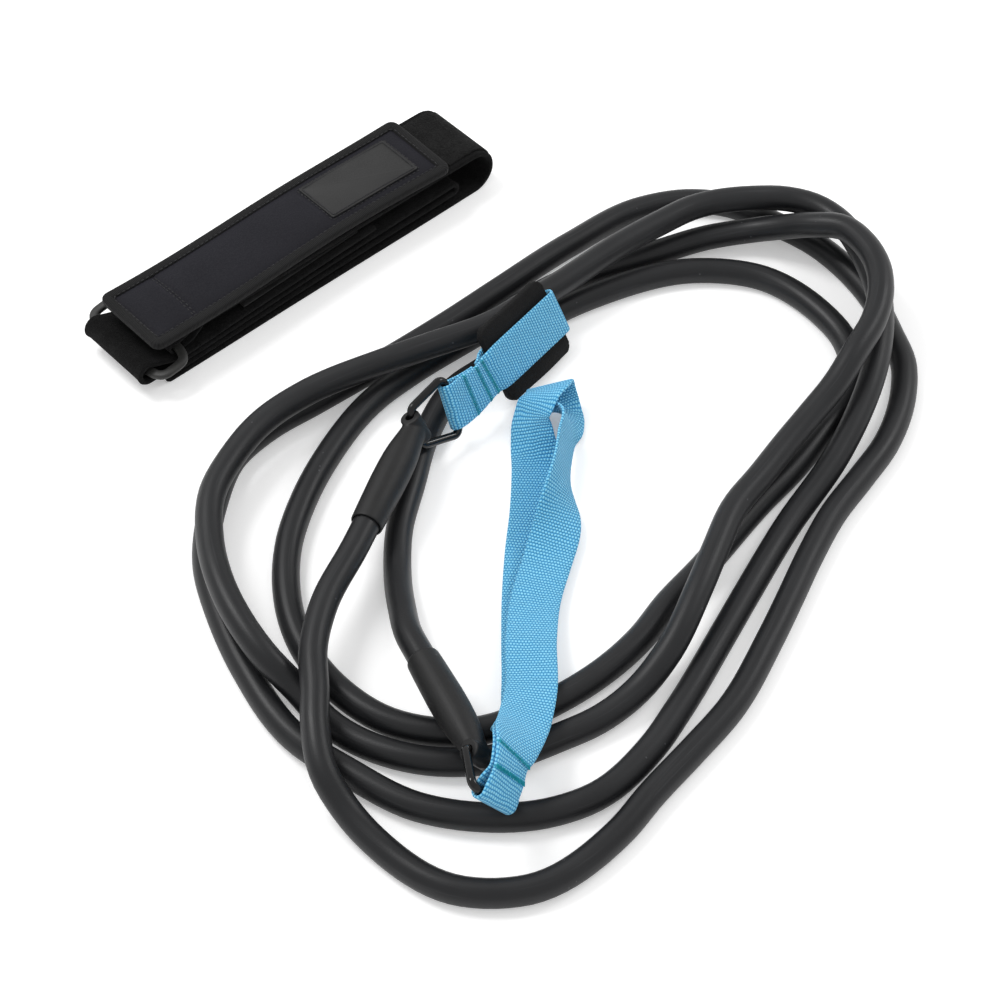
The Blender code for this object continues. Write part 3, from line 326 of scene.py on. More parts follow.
def evenly(points, step):
    """The same path with its points a step apart."""
    runs = np.linalg.norm(np.diff(points[:, :3], axis=0), axis=1)
    places = np.concatenate([[0.0], np.cumsum(runs)])
    wanted = np.linspace(0.0, places[-1], int(round(places[-1] / step)) + 1)
    return np.stack([np.interp(wanted, places, points[:, k]) for k in range(points.shape[1])], axis=1)

# %% [markdown]
# Materials are built from nodes. Two small helpers keep each of them readable: one adds a node
# and links it, the other does a sum. Patterns that several finishes share are node groups.

# %% Helpers for nodes
def add(tree, kind, inputs=None, **settings):
    """Adds a node; inputs gives numbers or the sockets to link, by the input's name or number."""
    made = tree.nodes.new(kind)
    for key, value in settings.items():
        setattr(made, key, value)
    for key, value in (inputs or {}).items():
        if isinstance(value, bpy.types.NodeSocket):
            tree.links.new(value, made.inputs[key])
        else:
            made.inputs[key].default_value = value
    return made


def sums(tree, operation, *values):
    return add(tree, "ShaderNodeMath", dict(enumerate(values)), operation=operation).outputs[0]


def plus(tree, first, second):
    return sums(tree, "ADD", first, second)


def times(tree, first, second):
    return sums(tree, "MULTIPLY", first, second)


def object_place(tree):
    return add(tree, "ShaderNodeTexCoord").outputs["Object"]


def ramp(tree, value, *stops):
    """A colour ramp; each stop is a place and a grey level or a colour."""
    made = add(tree, "ShaderNodeValToRGB", {0: value})
    while len(made.color_ramp.elements) < len(stops):
        made.color_ramp.elements.new(0.5)
    for element, (place, tone) in zip(made.color_ramp.elements, stops):
        element.position = place
        element.color = (*tone, 1.0) if isinstance(tone, tuple) else (tone, tone, tone, 1.0)
    return made.outputs["Color"]


def mix_colours(tree, factor, first, second):
    """Mixes two colours; each is a socket or a tuple. Inputs 6 and 7 are a Mix node's colours."""
    made = tree.nodes.new("ShaderNodeMix")
    made.data_type = "RGBA"
    inputs = (made.inputs["Factor"], made.inputs[6], made.inputs[7])
    for socket, value in zip(inputs, (factor, first, second)):
        if isinstance(value, bpy.types.NodeSocket):
            tree.links.new(value, socket)
        else:
            socket.default_value = (*value, 1.0) if isinstance(value, tuple) else value
    return made.outputs[2]


def new_group(name, takes, gives):
    """A node group with number sockets: takes gives its inputs and their values."""
    group = bpy.data.node_groups.new(name, "ShaderNodeTree")
    for label, value in takes.items():
        socket = group.interface.new_socket(label, in_out="INPUT", socket_type="NodeSocketFloat")
        socket.default_value = value
    for label in gives:
        group.interface.new_socket(label, in_out="OUTPUT", socket_type="NodeSocketFloat")
    return group, group.nodes.new("NodeGroupInput"), group.nodes.new("NodeGroupOutput")


def use_group(tree, group, **values):
    """Places a group in a material with its own values, and returns its outputs."""
    made = tree.nodes.new("ShaderNodeGroup")
    made.node_tree = group
    for label, value in values.items():
        made.inputs[label].default_value = value
    return made.outputs

# %% [markdown]
# **Grain** is what keeps rubber, foam and plastic from looking like a flat colour: a fine noise
# for the skin, a broad one for handling marks, and a few pale flecks of dust.

# %% Group: grain
grain, taken, given = new_group("grain", {"Fine": 900.0, "Broad": 14.0}, ("Fine", "Broad", "Flecks"))
place = object_place(grain)
fine = add(grain, "ShaderNodeTexNoise", {"Vector": place, "Scale": taken.outputs["Fine"], "Detail": 3.0})
broad = add(grain, "ShaderNodeTexNoise",
            {"Vector": place, "Scale": taken.outputs["Broad"], "Detail": 5.0, "Roughness": 0.62})
specks = add(grain, "ShaderNodeTexVoronoi", {"Vector": place, "Scale": 190.0})
far_speck = add(grain, "ShaderNodeTexNoise", {"Vector": place, "Scale": 31.0, "Detail": 2.0})
near_speck = sums(grain, "LESS_THAN", specks.outputs["Distance"], 0.10)
some = sums(grain, "GREATER_THAN", far_speck.outputs[0], 0.62)
grain.links.new(fine.outputs[0], given.inputs["Fine"])
grain.links.new(broad.outputs[0], given.inputs["Broad"])
grain.links.new(times(grain, near_speck, some), given.inputs["Flecks"])

# %% [markdown]
# **Weave** is the pattern of flat webbing: rows of short floats, each row set half a float to
# the side of the last. The UV map is in metres, so the pitches are too. A little noise on the
# map keeps the rows from being ruled with a ruler, and each float has its own tone.

# %% Group: weave
weave, taken, given = new_group("weave", {"Along": 0.0017, "Across": 0.0016}, ("Height", "Tone", "Row"))
cloth = add(weave, "ShaderNodeUVMap", uv_map="cloth").outputs[0]
split = add(weave, "ShaderNodeSeparateXYZ", {0: cloth})
wander = add(weave, "ShaderNodeTexNoise", {"Vector": object_place(weave), "Scale": 160.0, "Detail": 1.0})
bend = times(weave, sums(weave, "SUBTRACT", wander.outputs[0], 0.5), 0.0011)
along = sums(weave, "DIVIDE", plus(weave, split.outputs[0], bend), taken.outputs["Along"])
row = sums(weave, "FLOOR", along)
half_step = times(weave, sums(weave, "PINGPONG", row, 1.0), 0.5)
across = plus(weave, sums(weave, "DIVIDE", split.outputs[1], taken.outputs["Across"]), half_step)
in_row = sums(weave, "SINE", times(weave, sums(weave, "FRACT", along), math.pi))
in_float = sums(weave, "SINE", times(weave, sums(weave, "FRACT", across), math.pi))
rise = times(weave, sums(weave, "POWER", in_row, 0.9), sums(weave, "POWER", in_float, 0.6))
cell = add(weave, "ShaderNodeCombineXYZ", {0: row, 1: sums(weave, "FLOOR", across)})
tone = add(weave, "ShaderNodeTexWhiteNoise", {"Vector": cell.outputs[0]}, noise_dimensions="3D")
weave.links.new(rise, given.inputs["Height"])
weave.links.new(tone.outputs["Value"], given.inputs["Tone"])
weave.links.new(in_row, given.inputs["Row"])

# %% [markdown]
# Every material starts with the grain placed beside its shader, and ends by linking its colour,
# its roughness and its bump.

# %% Start and end of a material
def new_material(name, fine, broad, **settings):
    """A material with the grain in it: itself, its tree, its shader and the grain's outputs."""
    made = bpy.data.materials.new(name)
    made.use_nodes = True
    tree = made.node_tree
    shader = tree.nodes["Principled BSDF"]
    for label, value in settings.items():
        shader.inputs[label.replace("_", " ")].default_value = value
    return made, tree, shader, use_group(tree, grain, Fine=fine, Broad=broad)


def link(tree, shader, colour, roughness, height, depth):
    """Links a material's colour, roughness and bump."""
    tree.links.new(colour, shader.inputs["Base Color"])
    if roughness is not None:
        tree.links.new(roughness, shader.inputs["Roughness"])
    bump = add(tree, "ShaderNodeBump", {"Height": height, "Distance": depth, "Strength": 1.0})
    tree.links.new(bump.outputs[0], shader.inputs["Normal"])

# %% [markdown]
# **Rubber.** The tube is extruded latex with a black, faintly blue skin. It is satin: wide soft
# highlights, with pale bloom where it has been handled and fine scuffs along its length.

# %% Materials: tube and boots
def rubber_material(name, dark, pale, smooth, rough, fine, broad, depth, scuffs=True):
    """Rubber between two tones and two roughnesses, with dust and, on the tube, scuffs along it."""
    made, tree, shader, skin = new_material(name, fine, broad, Specular_IOR_Level=0.32)
    colour = ramp(tree, skin["Broad"], (0.3, dark), (0.75, pale))
    flecks = times(tree, skin["Flecks"], 0.35)
    colour = mix_colours(tree, flecks, colour, (0.11, 0.11, 0.12))
    shine = ramp(tree, skin["Broad"], (0.3, smooth), (0.7, rough))
    height = skin["Fine"]
    if scuffs:
        cloth_map = add(tree, "ShaderNodeUVMap", uv_map="cloth").outputs[0]
        stretched = add(tree, "ShaderNodeMapping", {"Vector": cloth_map, "Scale": (22.0, 900.0, 1.0)})
        scuff = add(tree, "ShaderNodeTexNoise",
                    {"Vector": stretched.outputs[0], "Scale": 1.0, "Detail": 3.0})
        mark = ramp(tree, scuff.outputs[0], (0.58, 0.0), (0.72, 1.0))
        colour = mix_colours(tree, times(tree, mark, 0.25), colour, (0.045, 0.046, 0.050))
        height = plus(tree, height, times(tree, scuff.outputs[0], 0.6))
    link(tree, shader, colour, shine, height, depth)
    return made


tube_rubber = rubber_material("tube_rubber", (0.0080, 0.0083, 0.0094), (0.0145, 0.0150, 0.0165),
                              0.36, 0.50, 1300.0, 16.0, 0.00006)
boot_rubber = rubber_material("boot_rubber", (0.0066, 0.0066, 0.0069), (0.0118, 0.0118, 0.0122),
                              0.42, 0.56, 2200.0, 45.0, 0.00010, scuffs=False)

# %% [markdown]
# **Wire and plastic.** The rings are steel wire dipped in black: glossy, with small dull spots.
# The belt's oval slide and the plugs are moulded plastic with a fine spark-eroded grain.

# %% Materials: wire and plastic
ring_wire, tree, shader, skin = new_material("ring_wire", 700.0, 160.0, Specular_IOR_Level=0.35)
spots = times(tree, ramp(tree, skin["Broad"], (0.60, 0.0), (0.70, 1.0)), 0.5)
link(tree, shader, mix_colours(tree, spots, (0.0040, 0.0040, 0.0043), (0.014, 0.014, 0.0145)),
     ramp(tree, skin["Broad"], (0.45, 0.11), (0.70, 0.26)), skin["Fine"], 0.00003)

slide_plastic, tree, shader, skin = new_material("slide_plastic", 2600.0, 70.0, Specular_IOR_Level=0.4)
link(tree, shader, ramp(tree, skin["Broad"], (0.3, (0.016, 0.016, 0.0155)), (0.7, (0.028, 0.028, 0.027))),
     ramp(tree, skin["Broad"], (0.3, 0.40), (0.7, 0.56)), skin["Fine"], 0.00008)

# %% [markdown]
# ** Webbing.** Sky-blue polyester. The floats stand up, and the colour follows their height: paler on the floats
# and darker in the gaps between them, which is painted shade. Long soft patches of tone show where it has
# been folded and has faded a little.

# %% Materials: webbing and its thread
blue_webbing, tree, shader, skin = new_material("blue_webbing", 3200.0, 55.0, Sheen_Weight=0.15,
                                                Sheen_Roughness=0.5, Specular_IOR_Level=0.25)
threads = use_group(tree, weave)
# Painted shade: the colour is darker in the gaps between the floats, where the weave is low.
colour = ramp(tree, threads["Height"], (0.12, (0.020, 0.240, 0.540)), (0.50, (0.150, 0.570, 0.900)),
              (0.90, (0.320, 0.780, 0.990)))
fade = plus(tree, times(tree, threads["Tone"], 0.14), times(tree, skin["Broad"], 0.14))
colour = mix_colours(tree, fade, colour, (0.060, 0.400, 0.760))
height = plus(tree, threads["Height"], times(tree, skin["Fine"], 0.10))
link(tree, shader, colour, ramp(tree, threads["Height"], (0.1, 0.85), (0.9, 0.62)), height, 0.00060)


def thread_material(name, dark, pale):
    """Twisted thread: fine diagonal bands over a broad change of tone."""
    made, tree, shader, skin = new_material(name, 1500.0, 420.0, Sheen_Weight=0.2, Sheen_Roughness=0.4,
                                            Specular_IOR_Level=0.3)
    twist = add(tree, "ShaderNodeTexWave", {"Vector": object_place(tree), "Scale": 700.0, "Distortion": 2.5},
                bands_direction="DIAGONAL")
    link(tree, shader, ramp(tree, skin["Broad"], (0.3, dark), (0.7, pale)),
         ramp(tree, skin["Fine"], (0.3, 0.55), (0.7, 0.75)), twist.outputs["Fac"], 0.00010)
    return made


teal_thread = thread_material("teal_thread", (0.006, 0.300, 0.400), (0.020, 0.480, 0.580))
black_thread = thread_material("black_thread", (0.006, 0.006, 0.007), (0.016, 0.016, 0.018))

# %% [markdown]
# **Foam.** The pad is closed-cell foam with open pores in its skin.

# %% Material: foam
pad_foam, tree, shader, skin = new_material("pad_foam", 1800.0, 60.0, Specular_IOR_Level=0.2)
pores = add(tree, "ShaderNodeTexVoronoi", {"Vector": object_place(tree), "Scale": 1500.0})
pore_height = plus(tree, pores.outputs["Distance"], times(tree, skin["Fine"], 0.5))
link(tree, shader,
     ramp(tree, skin["Broad"], (0.3, (0.0045, 0.0045, 0.0047)), (0.75, (0.0095, 0.0095, 0.0098))),
     ramp(tree, skin["Fine"], (0.3, 0.72), (0.7, 0.92)), pore_height, 0.00018)

# %% [markdown]
# ** The belt's strap and tapes.** The strap and the loop tape are brushed cloth: short fibres at two sizes
# in the bump, with the raised tufts painted paler, a painted highlight. The hook tape is a field of tiny
# cells.

# %% Materials: strap and tapes
def brushed_material(name, dark, pale, size, depth, sheen):
    """Cloth with a raised nap: noise at two sizes; raised tufts painted paler, a painted highlight."""
    made, tree, shader, skin = new_material(name, size * 2.2, size * 0.12, Sheen_Weight=sheen,
                                            Sheen_Roughness=0.6, Specular_IOR_Level=0.08, Roughness=0.95)
    tufts = add(tree, "ShaderNodeTexNoise", {"Vector": object_place(tree), "Scale": size, "Detail": 5.0,
                                             "Roughness": 0.75, "Distortion": 1.2})
    height = plus(tree, tufts.outputs[0], times(tree, skin["Fine"], 0.4))
    # Painted highlight: the colour follows the tufts' height, paler where they stand up, mixed with a broad
    # random tone.
    shade = plus(tree, times(tree, tufts.outputs[0], 0.7), times(tree, skin["Broad"], 0.3))
    link(tree, shader, ramp(tree, shade, (0.42, dark), (0.62, pale)), None, height, depth)
    return made


strap_cloth = brushed_material("strap_cloth", (0.0010, 0.0010, 0.0011), (0.0095, 0.0095, 0.0097),
                               780.0, 0.00120, 0.03)
loop_cloth = brushed_material("loop_cloth", (0.0008, 0.0008, 0.0009), 0.0150, 620.0, 0.00200, 0.04)

hook_tape, tree, shader, skin = new_material("hook_tape", 1500.0, 80.0, Specular_IOR_Level=0.3)
hooks = add(tree, "ShaderNodeTexVoronoi", {"Vector": object_place(tree), "Scale": 850.0},
            feature="DISTANCE_TO_EDGE")
link(tree, shader, ramp(tree, skin["Broad"], (0.3, 0.008), (0.7, 0.018)),
     ramp(tree, skin["Fine"], (0.3, 0.6), (0.7, 0.8)), hooks.outputs["Distance"], 0.0006)

# %% [markdown]
# ** The panel's cloths and the patch.** The panel is a smooth navy-black knit with a fine grain
# that is turned as the belt is, and a ribbed binding, painted darker between its ribs as shade, goes round
# it. The patch is a bare grey.

# %% Materials: panel, binding and patch
BELT_TURN = math.radians(42.3)
panel_knit, tree, shader, skin = new_material("panel_knit", 2400.0, 28.0, Sheen_Weight=0.06,
                                              Sheen_Roughness=0.5, Specular_IOR_Level=0.2,
                                              Sheen_Tint=(0.75, 0.75, 1.0, 1.0))
ribs = add(tree, "ShaderNodeMapping", {"Vector": object_place(tree), "Rotation": (0.0, 0.0, -BELT_TURN),
                                       "Scale": (1500.0, 1100.0, 600.0)})
knit = add(tree, "ShaderNodeTexNoise", {"Vector": ribs.outputs[0], "Scale": 1.0, "Detail": 1.0})
height = plus(tree, knit.outputs[0], times(tree, skin["Fine"], 0.4))
link(tree, shader,
     ramp(tree, skin["Broad"], (0.25, (0.0054, 0.0052, 0.0078)), (0.75, (0.0090, 0.0087, 0.0122))),
     ramp(tree, knit.outputs[0], (0.3, 0.68), (0.7, 0.85)), height, 0.00012)

binding_tape, tree, shader, skin = new_material("binding_tape", 1800.0, 50.0, Sheen_Weight=0.05,
                                                Sheen_Roughness=0.5, Specular_IOR_Level=0.2)
threads = use_group(tree, weave, Along=0.0009, Across=0.0030)
# Painted shade: the binding is darker in the grooves between its ribs, mixed with a broad random tone.
tape_shade = plus(tree, times(tree, threads["Row"], 0.4), times(tree, skin["Broad"], 0.6))
link(tree, shader, ramp(tree, tape_shade, (0.3, (0.0036, 0.0036, 0.0038)), (0.8, (0.0110, 0.0110, 0.0114))),
     ramp(tree, skin["Fine"], (0.3, 0.75), (0.7, 0.92)), threads["Row"], 0.00018)

bare_patch, tree, shader, skin = new_material("bare_patch", 1400.0, 40.0, Specular_IOR_Level=0.3)
link(tree, shader, ramp(tree, skin["Broad"], (0.25, 0.0200), (0.75, 0.0285)),
     ramp(tree, skin["Fine"], (0.3, 0.50), (0.7, 0.68)), skin["Fine"], 0.00010)

# %% [markdown]
# **The tube** is the tether itself: 14 mm of rubber lying in about four and a third loose turns,
# crossing over itself in long low humps. The photograph shows it end to end, so its whole length
# is on this one route, from inside sleeve A to inside sleeve B. Each row of the route is x, y and
# how many strands lie under it. The tube is a mesh sweep and not a curve, so that it can be
# pressed flat where it rests on the floor.

# %% The tube's route
TUBE_DIAMETER = 0.014
TUBE_PITCH = 0.015
TUBE_REST = 0.0056
TUBE_ROUTE = (
    (-0.085, -0.085, 1.2), (-0.089, -0.113, 1.2), (-0.087, -0.136, 1.2), (-0.086, -0.156, 1.15),
    (-0.081, -0.179, 0.85), (-0.071, -0.193, 0.3), (-0.056, -0.209, 0.0), (-0.021, -0.233, 0.0),
    (0.013, -0.233, 0.0), (0.055, -0.202, 0.0), (0.070, -0.182, 0.0), (0.090, -0.158, 0.0),
    (0.109, -0.134, 0.0), (0.131, -0.092, 0.0), (0.142, -0.068, 0.0), (0.154, -0.041, 0.0),
    (0.168, -0.0135, 0.0), (0.185, 0.0115, 0.0), (0.199, 0.033, 0.0), (0.212, 0.070, 0.0),
    (0.214, 0.089, 0.0), (0.209, 0.113, 0.0), (0.202, 0.138, 0.0), (0.188, 0.164, 0.0),
    (0.174, 0.181, 0.0), (0.153, 0.197, 0.0), (0.128, 0.212, 0.0), (0.104, 0.215, 0.0),
    (0.079, 0.209, 0.0), (0.038, 0.180, 0.0), (-0.002, 0.144, 0.0), (-0.027, 0.121, 0.0),
    (-0.067, 0.087, 0.0), (-0.097, 0.063, 0.0), (-0.121, 0.044, 0.0), (-0.137, 0.024, 0.0),
    (-0.145, -0.006, 0.0), (-0.146, -0.047, 0.0), (-0.137, -0.078, 0.0), (-0.123, -0.110, 0.0),
    (-0.095, -0.152, 0.0), (-0.072, -0.169, 0.0), (-0.038, -0.189, 0.0), (-0.015, -0.194, 0.0),
    (0.023, -0.192, 0.0), (0.043, -0.184, 0.0), (0.071, -0.156, 0.0), (0.084, -0.135, 0.0),
    (0.109, -0.088, 0.0), (0.122, -0.063, 0.0), (0.144, -0.022, 0.0), (0.173, 0.022, 0.4),
    (0.184, 0.043, 0.7), (0.193, 0.065, 1.0), (0.199, 0.088, 1.1), (0.202, 0.130, 1.1),
    (0.196, 0.156, 1.2), (0.186, 0.180, 1.2), (0.174, 0.192, 1.2), (0.158, 0.198, 1.2),
    (0.142, 0.197, 1.3), (0.107, 0.190, 1.3), (0.087, 0.177, 1.3), (0.067, 0.162, 1.3),
    (0.029, 0.1295, 1.2), (0.013, 0.1165, 1.2), (0.000, 0.1055, 1.2), (-0.040, 0.085, 1.2),
    (-0.061, 0.075, 1.2), (-0.102, 0.053, 1.1), (-0.122, 0.034, 1.1), (-0.136, 0.010, 1.1),
    (-0.144, -0.013, 1.1), (-0.143, -0.044, 1.1), (-0.137, -0.068, 1.2), (-0.126, -0.093, 1.2),
    (-0.111, -0.114, 0.9), (-0.097, -0.125, 0.3), (-0.082, -0.141, 0.0), (-0.042, -0.162, 0.0),
    (-0.001, -0.162, 0.0), (0.028, -0.150, 0.0), (0.048, -0.139, 0.0), (0.067, -0.123, 0.2),
    (0.079, -0.109, 0.6), (0.097, -0.072, 1.1), (0.105, -0.051, 1.1), (0.117, -0.022, 1.1),
    (0.131, -0.002, 1.1), (0.145, 0.018, 1.2), (0.159, 0.036, 1.4), (0.172, 0.052, 1.7),
    (0.184, 0.071, 2.1), (0.194, 0.089, 2.2), (0.200, 0.110, 2.3), (0.200, 0.130, 2.3),
    (0.194, 0.149, 2.2), (0.185, 0.163, 2.0), (0.170, 0.171, 1.6), (0.157, 0.179, 1.0),
    (0.137, 0.185, 0.4), (0.115, 0.183, 0.2), (0.086, 0.174, 0.0), (0.028, 0.147, 0.0),
    (0.008, 0.131, 0.0), (-0.011, 0.114, 0.0), (-0.047, 0.084, 0.0), (-0.065, 0.066, 0.0),
    (-0.089, 0.025, 0.0), (-0.100, -0.005, 0.0), (-0.106, -0.035, 0.0), (-0.106, -0.057, 0.0),
    (-0.097, -0.094, 0.0), (-0.074, -0.126, 0.0), (-0.055, -0.140, 0.0), (-0.014, -0.147, 0.0),
    (0.028, -0.128, 0.0), (0.048, -0.113, 0.0), (0.068, -0.092, 0.0), (0.082, -0.071, 0.0),
    (0.099, -0.050, 0.0), (0.133, -0.004, 0.0), (0.148, 0.014, 0.0), (0.164, 0.037, 0.0),
    (0.185, 0.073, 0.0), (0.184, 0.108, 0.0), (0.173, 0.128, 0.0), (0.144, 0.154, 0.0),
    (0.107, 0.160, 0.0), (0.056, 0.1435, 0.0), (0.011, 0.112, 0.0), (-0.006, 0.089, 0.0),
    (-0.024, 0.072, 0.0), (-0.038, 0.041, 0.0), (-0.045, 0.007, 0.0), (-0.051, -0.026, 0.0),
    (-0.051, -0.052, 0.0), (-0.048, -0.078, 0.4),
)
SLEEVE_LENGTH = 0.067
TUBE_IN_SLEEVE = 0.028
A_TO_MOUTH = Vector((-0.023, -0.062, -0.0015))
EYE_B = Vector((-0.010, -0.177, 0.030))
B_TO_MOUTH = Vector((-0.029, 0.066, -0.010))
out_a, out_b = A_TO_MOUTH.normalized(), B_TO_MOUTH.normalized()
mouth_a, mouth_b = EYE_A + out_a * SLEEVE_LENGTH, EYE_B + out_b * SLEEVE_LENGTH

route = [(x, y, TUBE_REST + level * TUBE_PITCH) for x, y, level in TUBE_ROUTE]
stations = [mouth_a - out_a * TUBE_IN_SLEEVE, mouth_a + out_a * TUBE_DIAMETER, *route,
            mouth_b + out_b * TUBE_DIAMETER, mouth_b - out_b * TUBE_IN_SLEEVE]
stations = [tuple(station) for station in stations]
headings = {0: tuple(out_a), 1: tuple(out_a), -1: tuple(-out_b), -2: tuple(-out_b)}
centreline = evenly(smooth_curve(stations, headings, 0.004), 0.005)
centreline = [Vector(point) + SHIFT for point in centreline]

# %% The tube
up = Vector((0.0, 0.0, 1.0))
tube_aheads = path_frames(centreline, [up] * len(centreline))[0]
tube_sides = [ahead.cross(up).normalized() for ahead in tube_aheads]
tube = swept(centreline, tube_sides, round_section(TUBE_DIAMETER / 2, 20), floor=0.0)
finish_piece(tube, "tether_tube", "tether", tube_rubber, ["rubber_tube"], 40)

# %% [markdown]
# **The end sleeves** are rubber boots moulded over a plug. Each is round where the tube goes in,
# with a thin lip, and flattens to a nose with a cross barrel that carries the ring's pin. The
# body is one circle extruded from the mouth to the nose and resized at each step; the barrel is
# a plain cylinder. A fine voxel remesh welds the two with a soft fillet, as a mould would, and
# the pin's hole is cut last, so that it stays sharp.

# %% Sleeve
SLEEVE_STATIONS = (
    (0.0670, 0.00745, 0.00745), (0.0674, 0.00780, 0.00780), (0.0668, 0.00830, 0.00830),
    (0.0600, 0.00860, 0.00860), (0.0500, 0.00895, 0.00890), (0.0400, 0.00925, 0.00915),
    (0.0300, 0.00935, 0.00905), (0.0230, 0.00925, 0.00870), (0.0175, 0.00890, 0.00810),
    (0.0120, 0.00820, 0.00720), (0.0070, 0.00760, 0.00620), (0.0020, 0.00710, 0.00550),
    (-0.0020, 0.00660, 0.00490), (-0.0050, 0.00500, 0.00330),
)
SLEEVE_BORE = 0.00725
BORE_DEPTH = 0.006
BARREL_RADIUS = 0.0053
BARREL_LENGTH = 0.0158
PIN_BORE = 0.0025
SLEEVE_VOXEL = 0.0005


def extrude_sleeve():
    """The boot's body with its axis on x and its mouth at the far end."""
    x, wide, thick = SLEEVE_LENGTH - BORE_DEPTH, SLEEVE_BORE, SLEEVE_BORE
    body = basic_shape(bpy.ops.mesh.primitive_circle_add, vertices=32, radius=SLEEVE_BORE,
                       location=(x, 0.0, 0.0), rotation=(0.0, math.pi / 2, 0.0))
    edit_all()
    for next_x, next_wide, next_thick in SLEEVE_STATIONS:
        bpy.ops.mesh.extrude_region_move(TRANSFORM_OT_translate={"value": (next_x - x, 0.0, 0.0)})
        bpy.ops.transform.resize(value=(1.0, next_wide / wide, next_thick / thick),
                                 center_override=(next_x, 0.0, 0.0))
        x, wide, thick = next_x, next_wide, next_thick
    bpy.ops.mesh.edge_face_add()
    bpy.ops.mesh.select_all(action="DESELECT")
    bpy.ops.mesh.select_non_manifold(extend=False)
    bpy.ops.mesh.edge_face_add()
    face_outward()
    return body


def make_sleeve():
    body = extrude_sleeve()
    barrel = basic_shape(bpy.ops.mesh.primitive_cylinder_add, vertices=32, radius=BARREL_RADIUS,
                         depth=BARREL_LENGTH, rotation=(math.pi / 2, 0.0, 0.0))
    pick(barrel)
    body.select_set(True)
    bpy.context.view_layer.objects.active = body
    bpy.ops.object.join()
    weld(body, SLEEVE_VOXEL, 5)
    deselect_all()
    bpy.ops.mesh.primitive_cylinder_add(vertices=24, radius=PIN_BORE, depth=2 * BARREL_LENGTH,
                                        rotation=(math.pi / 2, 0.0, 0.0))
    drill = bpy.context.object
    bore = body.modifiers.new("bore", "BOOLEAN")
    bore.operation = "DIFFERENCE"
    bore.solver = "EXACT"
    bore.object = drill
    apply_modifiers(body)
    bpy.data.objects.remove(drill, do_unlink=True)
    return body

# %% [markdown]
# Each sleeve points along its tube, with its barrel along the ring's pin, so the frames of the
# rings come first. The plugs can't be seen, but they get their plastic too.

# %% Sleeves in place
RING_A_TO_BAR = Vector((0.0150, 0.0146, -0.002))
RING_A_BAR = Vector((0.36, -0.30, -0.88))
RING_B_TO_BAR = Vector((0.0076, -0.025, 0.001))
RING_B_BAR = Vector((0.60, 0.10, -0.79))
ring_frames = {
    "a": frame_from(RING_A_TO_BAR, RING_A_BAR, EYE_A + SHIFT),
    "b": frame_from(RING_B_TO_BAR, RING_B_BAR, EYE_B + SHIFT),
}
bar_ways = {letter: made.to_3x3() @ Vector((0.0, 1.0, 0.0)) for letter, made in ring_frames.items()}

sleeve = make_sleeve()
second_sleeve = copy_of(sleeve, "second")
for letter, piece, out, eye in (("a", sleeve, out_a, EYE_A), ("b", second_sleeve, out_b, EYE_B)):
    put_in_place(piece, frame_from(out, bar_ways[letter], eye + SHIFT))
    finish_piece(piece, f"moulded_sleeve_{letter}", "tether", boot_rubber,
                 [f"end_sleeve_{letter}"], 50)
    plug = frame["nodes"][f"end_plug_{letter}"]
    plug.data.materials.clear()
    plug.data.materials.append(slide_plastic)

# %% [markdown]
# **The rings** are bent wire: narrow at the pin in the sleeve, wide at the bar in the webbing. A
# closed curve with a round bevel is the natural way to make bent wire, with a small arc at each
# corner, and it is made a mesh afterwards.

# %% Wire rings
WIRE_DIAMETER = 0.0044
RING_PIN_WIDTH = 0.021
RING_BAR_WIDTH = 0.033
RING_HEIGHT = 0.025
RING_CORNER = 0.0036


def ring_outline(steps=8):
    """The wire's line: narrow at the pin, wide at the bar, with an arc at each corner."""
    pin, bar = RING_PIN_WIDTH / 2, RING_BAR_WIDTH / 2
    corners = [(0.0, -pin), (RING_HEIGHT, -bar), (RING_HEIGHT, bar), (0.0, pin)]
    points = []
    for i, corner in enumerate(corners):
        here = np.array(corner)
        back = np.array(corners[i - 1]) - here
        ahead = np.array(corners[(i + 1) % 4]) - here
        back /= np.linalg.norm(back)
        ahead /= np.linalg.norm(ahead)
        half = math.acos(float(back @ ahead)) / 2
        reach = RING_CORNER / math.tan(half)
        centre = here + (back + ahead) / np.linalg.norm(back + ahead) * RING_CORNER / math.sin(half)
        start, end = here + back * reach - centre, here + ahead * reach - centre
        sweep = math.pi - 2 * half
        for k in range(steps + 1):
            near = math.sin((1 - k / steps) * sweep) / math.sin(sweep)
            far = math.sin(k / steps * sweep) / math.sin(sweep)
            points.append(centre + start * near + end * far)
    return points


def bent_wire(points, radius, closed=True, sides=4):
    """A wire along points, as a mesh."""
    path = bpy.data.curves.new("wire", "CURVE")
    path.dimensions = "3D"
    spline = path.splines.new("POLY")
    spline.points.add(len(points) - 1)
    for point, place in zip(spline.points, points):
        point.co = (*place, 1.0)
    spline.use_cyclic_u = closed
    path.bevel_depth = radius
    path.bevel_resolution = sides
    path.use_fill_caps = True
    wire = bpy.data.objects.new("wire", path)
    scene.collection.objects.link(wire)
    pick(wire)
    bpy.ops.object.convert(target="MESH")
    return bpy.context.object


for letter in "ab":
    ring = bent_wire([(x, y, 0.0) for x, y in ring_outline()], WIRE_DIAMETER / 2)
    put_in_place(ring, ring_frames[letter])
    finish_piece(ring, f"bent_ring_{letter}", f"ring_{letter}", ring_wire, [f"wire_ring_{letter}"])

# %% [markdown]
# **Webbing loops.** Flat webbing is a strip 25 mm wide and 1.6 mm thick. Loop A goes round ring
# A's bar, through a sewn seam and round the foam pad. Loop B goes round ring B's bar, through
# its seam and up to a long eye whose front leg stands and turns on its edge. Both are swept with
# the way of their width given at each place, because how a strap twists is what makes it look
# like a strap.

